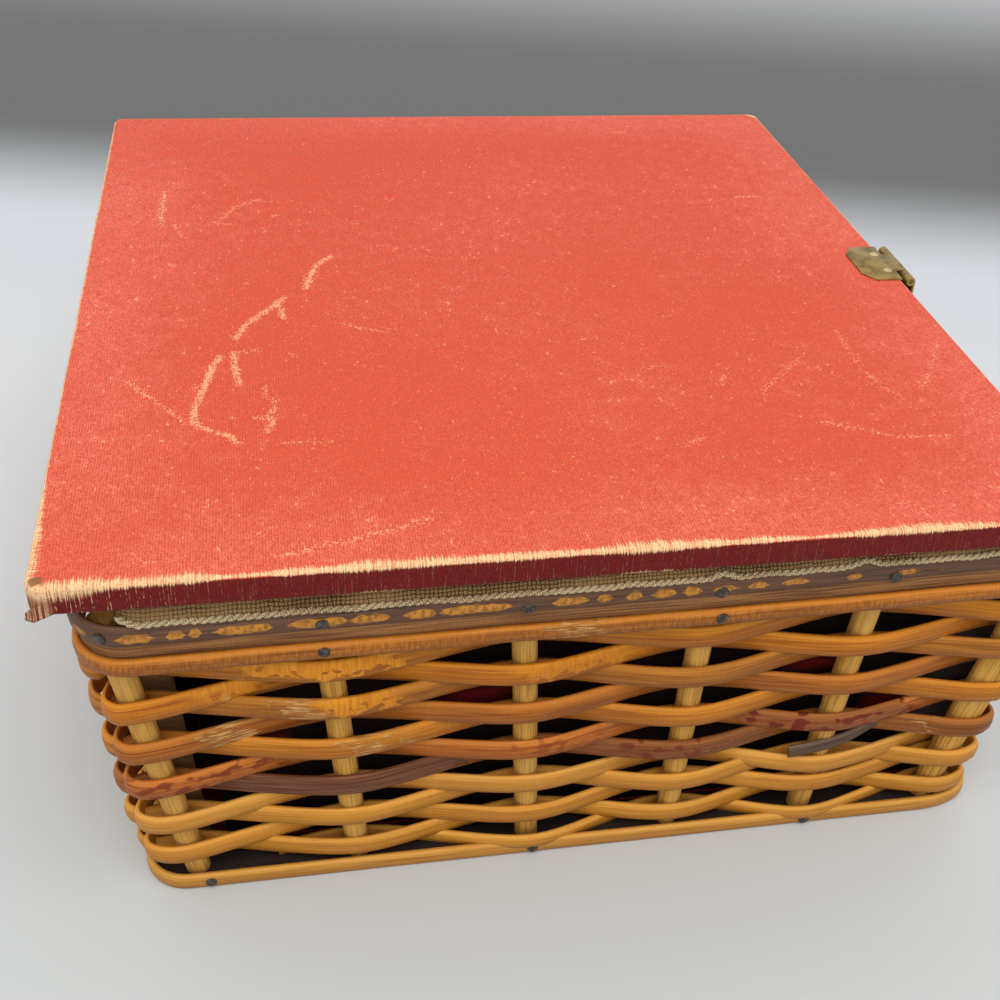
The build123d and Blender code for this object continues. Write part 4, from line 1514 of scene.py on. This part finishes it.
@dataclass
class Lid:
    """The lid: book cloth over a board, worn along its edges."""

    half_x: float = 142.0
    half_y: float = 127.0
    middle_y: float = 3.0
    bottom: float = 106.15
    top: float = 113.65
    corner: float = 4.0
    arris: float = 1.1
    hem: float = 16.0
    cloth: float = 0.8
    spacing: float = 1.1
    scuff_width: float = 1.15
    scuffs: tuple[tuple[float, tuple[tuple[float, float], ...]], ...] = (
        (0.8, ((70.3, 109.1), (58.5, 109.1), (44.1, 109.3))),
        (0.5, ((43.9, 104.9), (33.0, 102.2))),
        (0.35, ((27.4, 120.6), (27.4, 105.9))),
        (0.6, ((43.2, 90.8), (42.9, 85.5))),
        (0.6, ((47.1, 89.6), (55.3, 86.4), (61.4, 79.6), (59.9, 71.2))),
        (0.8, ((48.8, 73.4), (48.8, 72.1))),
        (1, ((16.2, 56.6), (10.9, 60.9), (2.2, 63.6), (-5.4, 65.4))),
        (1, ((-10.9, 71.7), (-17.9, 76.2), (-21.6, 79.2), (-27.6, 82.9), (-35.0, 85.7))),
        (0.9, ((-15.7, 73.2), (-23.8, 72.1))),
        (0.9, ((-42.9, 86.4), (-52.1, 85.7), (-60.3, 84.8))),
        (0.6, ((-43.6, 86.4), (-42.0, 79.5))),
        (1, ((-44.8, 89.8), (-50.2, 91.8), (-63.4, 94.3), (-71.0, 96.0), (-78.4, 96.2))),
        (0.8, ((-78.4, 96.2), (-82.3, 92.7), (-85.2, 87.7), (-89.0, 85.2))),
        (0.6, ((-56.6, 113.3), (-61.4, 110.4), (-66.3, 106.4), (-73.0, 101.7), (-78.2, 99.0))),
        (0.45, ((-28.0, 56.3), (-31.6, 50.7), (-34.4, 42.9))),
        (0.6, ((-62.2, 78.2), (-67.5, 77.9))),
        (0.7, ((-69.0, 75.7), (-74.0, 76.1), (-77.6, 77.8))),
        (0.8, ((-77.3, 80.7), (-77.7, 76.2), (-84.3, 78.0))),
        (0.4, ((44.4, 35.6), (44.2, 30.6))),
        (0.5, ((-90.0, 74.7), (-90.5, 62.8))),
        (0.5, ((-44.9, 70.5), (-45.0, 69.2))),
        (0.5, ((122.0, -56.6), (121.7, -65.0))),
        (0.6, ((56.7, -89.2), (57.2, -97.3))),
        (0.45, ((-42.6, -89.5), (-55.4, -88.9), (-70.2, -89.1), (-79.0, -92.2), (-85.2, -95.4))),
        (0.5, ((-79.0, -101.5), (-68.6, -108.6), (-54.3, -117.2))),
        (0.5, ((-76.5, -55.3), (-67.3, -64.2), (-59.9, -71.8))),
        (0.55, ((-92.8, -66.1), (-95.5, -72.6), (-98.9, -79.2), (-101.9, -85.8), (-102.9, -99.8))),
        (0.45, ((-101.4, -26.8), (-97.2, -32.1))),
        (0.5, ((-71.8, -44.7), (-65.9, -47.7))),
        (0.4, ((-60.9, -25.9), (-59.9, -31.8))),
        (0.6, ((-135.9, 76.7), (-134.1, 69.7), (-131.9, 61.8), (-128.3, 49.0), (-125.2, 41.7))),
    )
    bare_corner: tuple[float, float, float] = (-139.2, 127.4, 2.8)
    torn: tuple[tuple[float, float, float], ...] = (
        (130.2, 107.4, 105.9), (128.8, 108.6, 105.3), (127.2, 109.0, 105.7), (125.6, 108.8, 106.3),
        (124.2, 108.6, 106.9), (122.6, 108.4, 107.7),
    )
    torn_free: float = 122.6
    torn_thickness: float = 0.32
    flat_size: tuple[float, float] = (0.316, 0.286)

    def build(self) -> None:
        """Builds and dresses the cover and the board."""
        finish = BookCloth().make()
        piece = self.cover(finish)
        self.wear(piece)
        belongs(piece, "lid", "lid_cloth")
        scrap = self.torn_corner(finish)
        board = Fibreboard("strawboard", (170, 128, 80), (122, 84, 50)).make()
        dress("lid_board", board)
        log.info("lid cover: %d faces", len(piece.data.polygons))

    def cover(self, finish: bpy.types.Material) -> bpy.types.Object:
        """The cloth's outer face over the top and edges, turned in underneath."""
        flat_x, flat_y, radius = self.half_x - self.arris, self.half_y - self.arris, self.corner - self.arris
        steps = [np.linspace(-half, half, int(2 * half / self.spacing)) for half in (flat_x, flat_y)]
        x, y = np.meshgrid(*steps, indexing="ij")
        past_x = np.clip((np.abs(x) - (flat_x - radius)) / radius, 0, 1)
        past_y = np.clip((np.abs(y) - (flat_y - radius)) / radius, 0, 1)
        round_x = flat_x - radius + radius * past_x * np.sqrt(1 - past_y**2 / 2)
        round_y = flat_y - radius + radius * past_y * np.sqrt(1 - past_x**2 / 2)
        x = np.where(past_x > 0, np.sign(x) * round_x, x)
        y = np.where(past_y > 0, np.sign(y) * round_y, y)
        top = np.stack([x.ravel(), y.ravel(), np.full(x.size, self.top)], axis=1)
        edge = border(*x.shape)
        base = top[edge, :2]
        limit = np.array([flat_x - radius, flat_y - radius])
        away = base - np.clip(base, -limit, limit)
        away /= np.linalg.norm(away, axis=1)[:, None]
        arris, side_bottom = self.arris, self.bottom + self.cloth
        quarter = math.pi / 2
        profile = [(arris * math.sin(a), self.top - arris * (1 - math.cos(a)))
                   for a in (quarter / 4, quarter / 2, quarter * 3 / 4, quarter)]
        profile += [(arris, self.top + (side_bottom - self.top) * share) for share in (0.35, 0.55, 0.75, 1.0)]
        profile += [(arris - self.cloth * (1 - math.cos(a)), side_bottom - self.cloth * math.sin(a))
                    for a in (quarter / 2, quarter)]
        rings = [(base + away * reach, z) for reach, z in profile]
        for inset, z in ((3.0, self.bottom), (self.hem, self.bottom), (self.hem, side_bottom)):
            limit = np.array([self.half_x - inset, self.half_y - inset])
            rings.append((np.clip(base, -limit, limit), z))
        points = [top] + [np.column_stack([plan, np.full(len(edge), z)]) for plan, z in rings]
        faces = cells(*x.shape)
        before = edge
        for number in range(len(rings)):
            start = x.size + number * len(edge)
            after = list(range(start, start + len(edge)))
            pairs = list(zip(before, after))
            faces += [(d, a, b, c) for (a, b), (d, c) in zip(pairs, pairs[1:] + pairs[:1])]
            before = after
        places = np.concatenate(points)
        places[:, 1] += self.middle_y
        piece = mesh_of("lid_cover", places * MM, faces, finish)
        with edited(piece.data) as shape:
            bmesh.ops.remove_doubles(shape, verts=shape.verts, dist=0.002 * MM)
        return piece

    def wear(self, piece: bpy.types.Object) -> None:
        """Paints scuffs, worn edges and the bare corner on the cover."""
        places = points_of(piece) / MM
        plan = places[:, :2]
        scuff = np.zeros(len(places))
        for strength, line in self.scuffs:
            for a, b in zip(line, line[1:]):
                a, b = np.array(a), np.array(b)
                share = np.clip(((plan - a) @ (b - a)) / ((b - a) @ (b - a)), 0, 1)
                away = np.linalg.norm(plan - (a + share[:, None] * (b - a)), axis=1)
                scuff = np.maximum(scuff, strength * np.exp(-((away / self.scuff_width) ** 2)))
        paint(piece, "scuff", scuff)
        corner = np.hypot(places[:, 0] + self.half_x, places[:, 1] - self.middle_y - self.half_y)
        paint(piece, "worn", np.clip(1.2 - corner / 34, 0, 1))
        x, y, reach = self.bare_corner
        paint(piece, "board", np.clip(1.3 - np.hypot(places[:, 0] - x, places[:, 1] - y) / reach, 0, 1))

    def torn_corner(self, finish: bpy.types.Material) -> bpy.types.Object:
        """The scrap of cloth that hangs from the worn corner of the near edge."""
        steps = 9
        front = np.zeros((len(self.torn), steps, 3))
        for i, (y, top, low) in enumerate(self.torn):
            for k in range(steps):
                share = k / (steps - 1)
                free = share * max(0.0, (y - self.torn_free) / 7.6)
                out = 0.12 + 0.75 * free**1.5 + 0.18 * math.sin(i * 2.1 + k * 0.7) * free
                curl = 0.3 * math.sin(k * 1.3) * free
                front[i, k] = (-self.half_x - out, y + curl, top + (low - top) * share)
        back = front + np.array([self.torn_thickness, 0.0, 0.0])
        piece = slab("lid_torn_corner", front * MM, back * MM, finish)
        paint(piece, "worn", np.ones(len(points_of(piece))))
        belongs(piece, "lid")
        return piece


@dataclass
class Brass:
    """Hinges and hasp in aged brass."""

    edge: float = 0.12
    edge_angle: float = 35.0
    weld: float = 0.005

    def build(self) -> None:
        """Dresses the metal pieces."""
        brass = OldMetal("aged_brass", (164, 134, 70), (112, 92, 46), (0.34, 0.6), 0.45, 220.0).make()
        worn = OldMetal("worn_brass", (214, 190, 140), (150, 126, 82), (0.28, 0.5), 0.5, 400.0).make()
        pin = OldMetal("pin_brass", (140, 118, 74), (70, 58, 36), (0.36, 0.66), 0.7, 400.0).make()
        pieces = [("clasp_plate", "lid"), ("clasp_flap", "clasp_flap"), ("clasp_catch", "basket")]
        for side in ("left", "right"):
            pieces += [(f"hinge_{side}_rim_leaf", "basket"), (f"hinge_{side}_lid_leaf", "lid")]
            dress(f"hinge_{side}_pin", pin)
        for node, body in pieces:
            self.soften(node, body, brass)
        dress("clasp_pin", pin)
        dress("clasp_rivets", worn)
        log.info("brass: %d eased pieces", len(pieces))

    def soften(self, node: str, body: str, finish: bpy.types.Material) -> None:
        """Puts a copy of a CAD node, with its sharp edges eased, in the node's place."""
        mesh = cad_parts[node].data.copy()
        with edited(mesh) as shape:
            bmesh.ops.remove_doubles(shape, verts=shape.verts, dist=self.weld * MM)
            values = {"verts": shape.verts, "edges": shape.edges, "delimit": {"NORMAL"}}
            bmesh.ops.dissolve_limit(shape, angle_limit=math.radians(1.0), **values)
        mesh.materials.clear()
        mesh.materials.append(finish)
        rough = placed(node + "_rough", mesh)
        bevel = rough.modifiers.new("eased", "BEVEL")
        bevel.width = self.edge * MM
        bevel.segments = 2
        bevel.limit_method = "ANGLE"
        bevel.angle_limit = math.radians(self.edge_angle)
        mesh = baked(rough)
        mesh.shade_smooth()
        mesh.set_sharp_from_angle(angle=SHARP)
        belongs(placed(node + "_eased", mesh), body, node)


@dataclass
class Studio:
    """The floor, the light and the camera."""

    place: tuple[float, float, float] = (-0.37729, 0.07335, 0.2991)
    azimuth: float = 12.9456
    elevation: float = 35.051
    roll: float = 4.104
    lens: float = 48.5765
    shift: tuple[float, float] = (-0.0423, -0.0026)
    world_strength: float = 0.84
    key_power: float = 7.0
    floor: float = 4.0

    def build(self) -> None:
        """Puts up the camera, the lights and the floor."""
        self.camera()
        scene = bpy.context.scene
        scene.view_settings.view_transform = "Standard"
        world = bpy.data.worlds.new("studio")
        world.use_nodes = True
        world.node_tree.nodes.clear()
        sky = Nodes(world.node_tree)
        glow = sky.add("ShaderNodeBackground", None, {0: tint((250, 250, 252)), 1: self.world_strength})
        sky.add("ShaderNodeOutputWorld", None, {0: glow.outputs[0]})
        scene.world = world
        self.lamp("key", (-0.6, 0.1, 1.2), (0.0, 0.0, 0.05), 1.0, self.key_power)
        mesh = bpy.data.meshes.new("floor")
        corners = [(x * self.floor, y * self.floor, 0) for x, y in CORNERS]
        mesh.from_pydata(corners, [], [(2, 3, 0, 1)])
        mesh.materials.append(StudioFloor().make())
        placed("floor", mesh)
        log.info("studio ready")

    def camera(self) -> None:
        """The camera, where the photograph was taken from."""
        a, e, r = (math.radians(v) for v in (self.azimuth, self.elevation, self.roll))
        ahead = Vector((math.cos(a) * math.cos(e), -math.sin(a) * math.cos(e), -math.sin(e)))
        right = Vector((-math.sin(a), -math.cos(a), 0.0))
        up = right.cross(ahead)
        side = right * math.cos(r) + up * math.sin(r)
        top = up * math.cos(r) - right * math.sin(r)
        data = bpy.data.cameras.new("camera")
        data.lens = self.lens
        data.sensor_width = 36.0
        data.shift_x, data.shift_y = self.shift
        data.clip_start = 0.01
        camera = bpy.data.objects.new("camera", data)
        turn = Matrix((side, top, -ahead)).transposed()
        camera.matrix_world = Matrix.Translation(self.place) @ turn.to_4x4()
        bpy.context.scene.collection.objects.link(camera)
        bpy.context.scene.camera = camera

    def lamp(self, name: str, place: tuple, target: tuple, size: float, power: float) -> None:
        """A soft square lamp that looks at a point."""
        data = bpy.data.lights.new(name, "AREA")
        data.shape = "SQUARE"
        data.size = size
        data.energy = power
        lamp = bpy.data.objects.new(name, data)
        way = Vector(target) - Vector(place)
        lamp.matrix_world = Matrix.Translation(place) @ way.to_track_quat("-Z", "Y").to_matrix().to_4x4()
        bpy.context.scene.collection.objects.link(lamp)


def woven_rows() -> list[Row]:
    """The twelve rows of cane from the top down, with what marks each on the near wall."""
    dark, bare, spots, fray = Mark.DARK, Mark.BARE, Mark.SPOTS, Mark.FRAY
    return [
        Row((204, 126, 24), (150, 80, 14), (77.3, 77.7, 78.2, 78.7, 78.8, 78.8), (Stretch(bare, 88, 50),)),
        Row((212, 130, 24), (162, 86, 14), (68.5, 69.6, 70.6, 70.7, 70.7, 70.5),
            (Stretch(bare, 98, 84, 0.8), Stretch(fray, 95, 92.5, 0.8), Stretch(bare, 20, -10, 0.6))),
        Row((190, 118, 34), (140, 78, 20), (64.3, 64.3, 64.4, 64.4, 64.5, 64.6),
            (Stretch(fray, 79, 69.5, 0.9), Stretch(bare, 69, 50, 0.9))),
        Row((190, 112, 32), (138, 70, 16), (53.9, 55.0, 56.2, 56.2, 56.2, 56.2), (Stretch(fray, 98.5, 86),)),
        Row((208, 130, 32), (156, 86, 18), (49.1, 49.1, 49.3, 49.3, 48.7, 48.0),
            (Stretch(fray, 63.5, 57), Stretch(fray, 57, 46, 0.6))),
        Row((200, 116, 38), (144, 68, 20), (40.4, 41.2, 42.0, 41.9, 41.7, 41.5),
            (Stretch(spots, 118, 80, 0.9), Stretch(spots, 19, -5, 0.5), Stretch(dark, -38.6, -93, 0.55),
             Stretch(spots, -42, -93, 1.2)), 6.4),
        Row((172, 100, 34), (116, 60, 18), (34.6, 34.6, 35.3, 36.0, 34.9, 33.7),
            (Stretch(dark, 101, 33), Stretch(dark, 9, -54, 0.55), Stretch(spots, -10, -35, 0.9),
             Stretch(fray, -96, -100, 0.8))),
        Row((218, 154, 62), (182, 116, 38), (26.0, 27.2, 28.4, 26.4, 24.2, 24.0), (), 6.1, 0.7),
        Row((216, 150, 54), (176, 110, 32), (21.7, 21.7, 22.2, 22.6, 21.7, 20.9), (), 6.1, 0.7),
        Row((212, 144, 50), (170, 104, 30), (13.5, 14.5, 15.6, 15.9, 16.1, 16.1), (), 6.1, 0.75),
        Row((210, 146, 52), (172, 108, 30), (8.9, 8.9, 9.1, 9.3, 9.3, 9.3), (), 6.0, 0.7),
        Row((214, 150, 56), (176, 112, 34), (4.9,) * 6, (), 4.8, 0.7, 82.0),
    ]


def main() -> None:
    """Builds the sewing box, piece by piece."""
    logging.basicConfig(level=logging.INFO, format="%(name)s: %(message)s")
    Studio().build()
    Weave(woven_rows()).build()
    Rim().build()
    Tape().build()
    Lining().build()
    Lid().build()
    Brass().build()
    log.info("all pieces built")


if __name__ == "__main__":
    main()
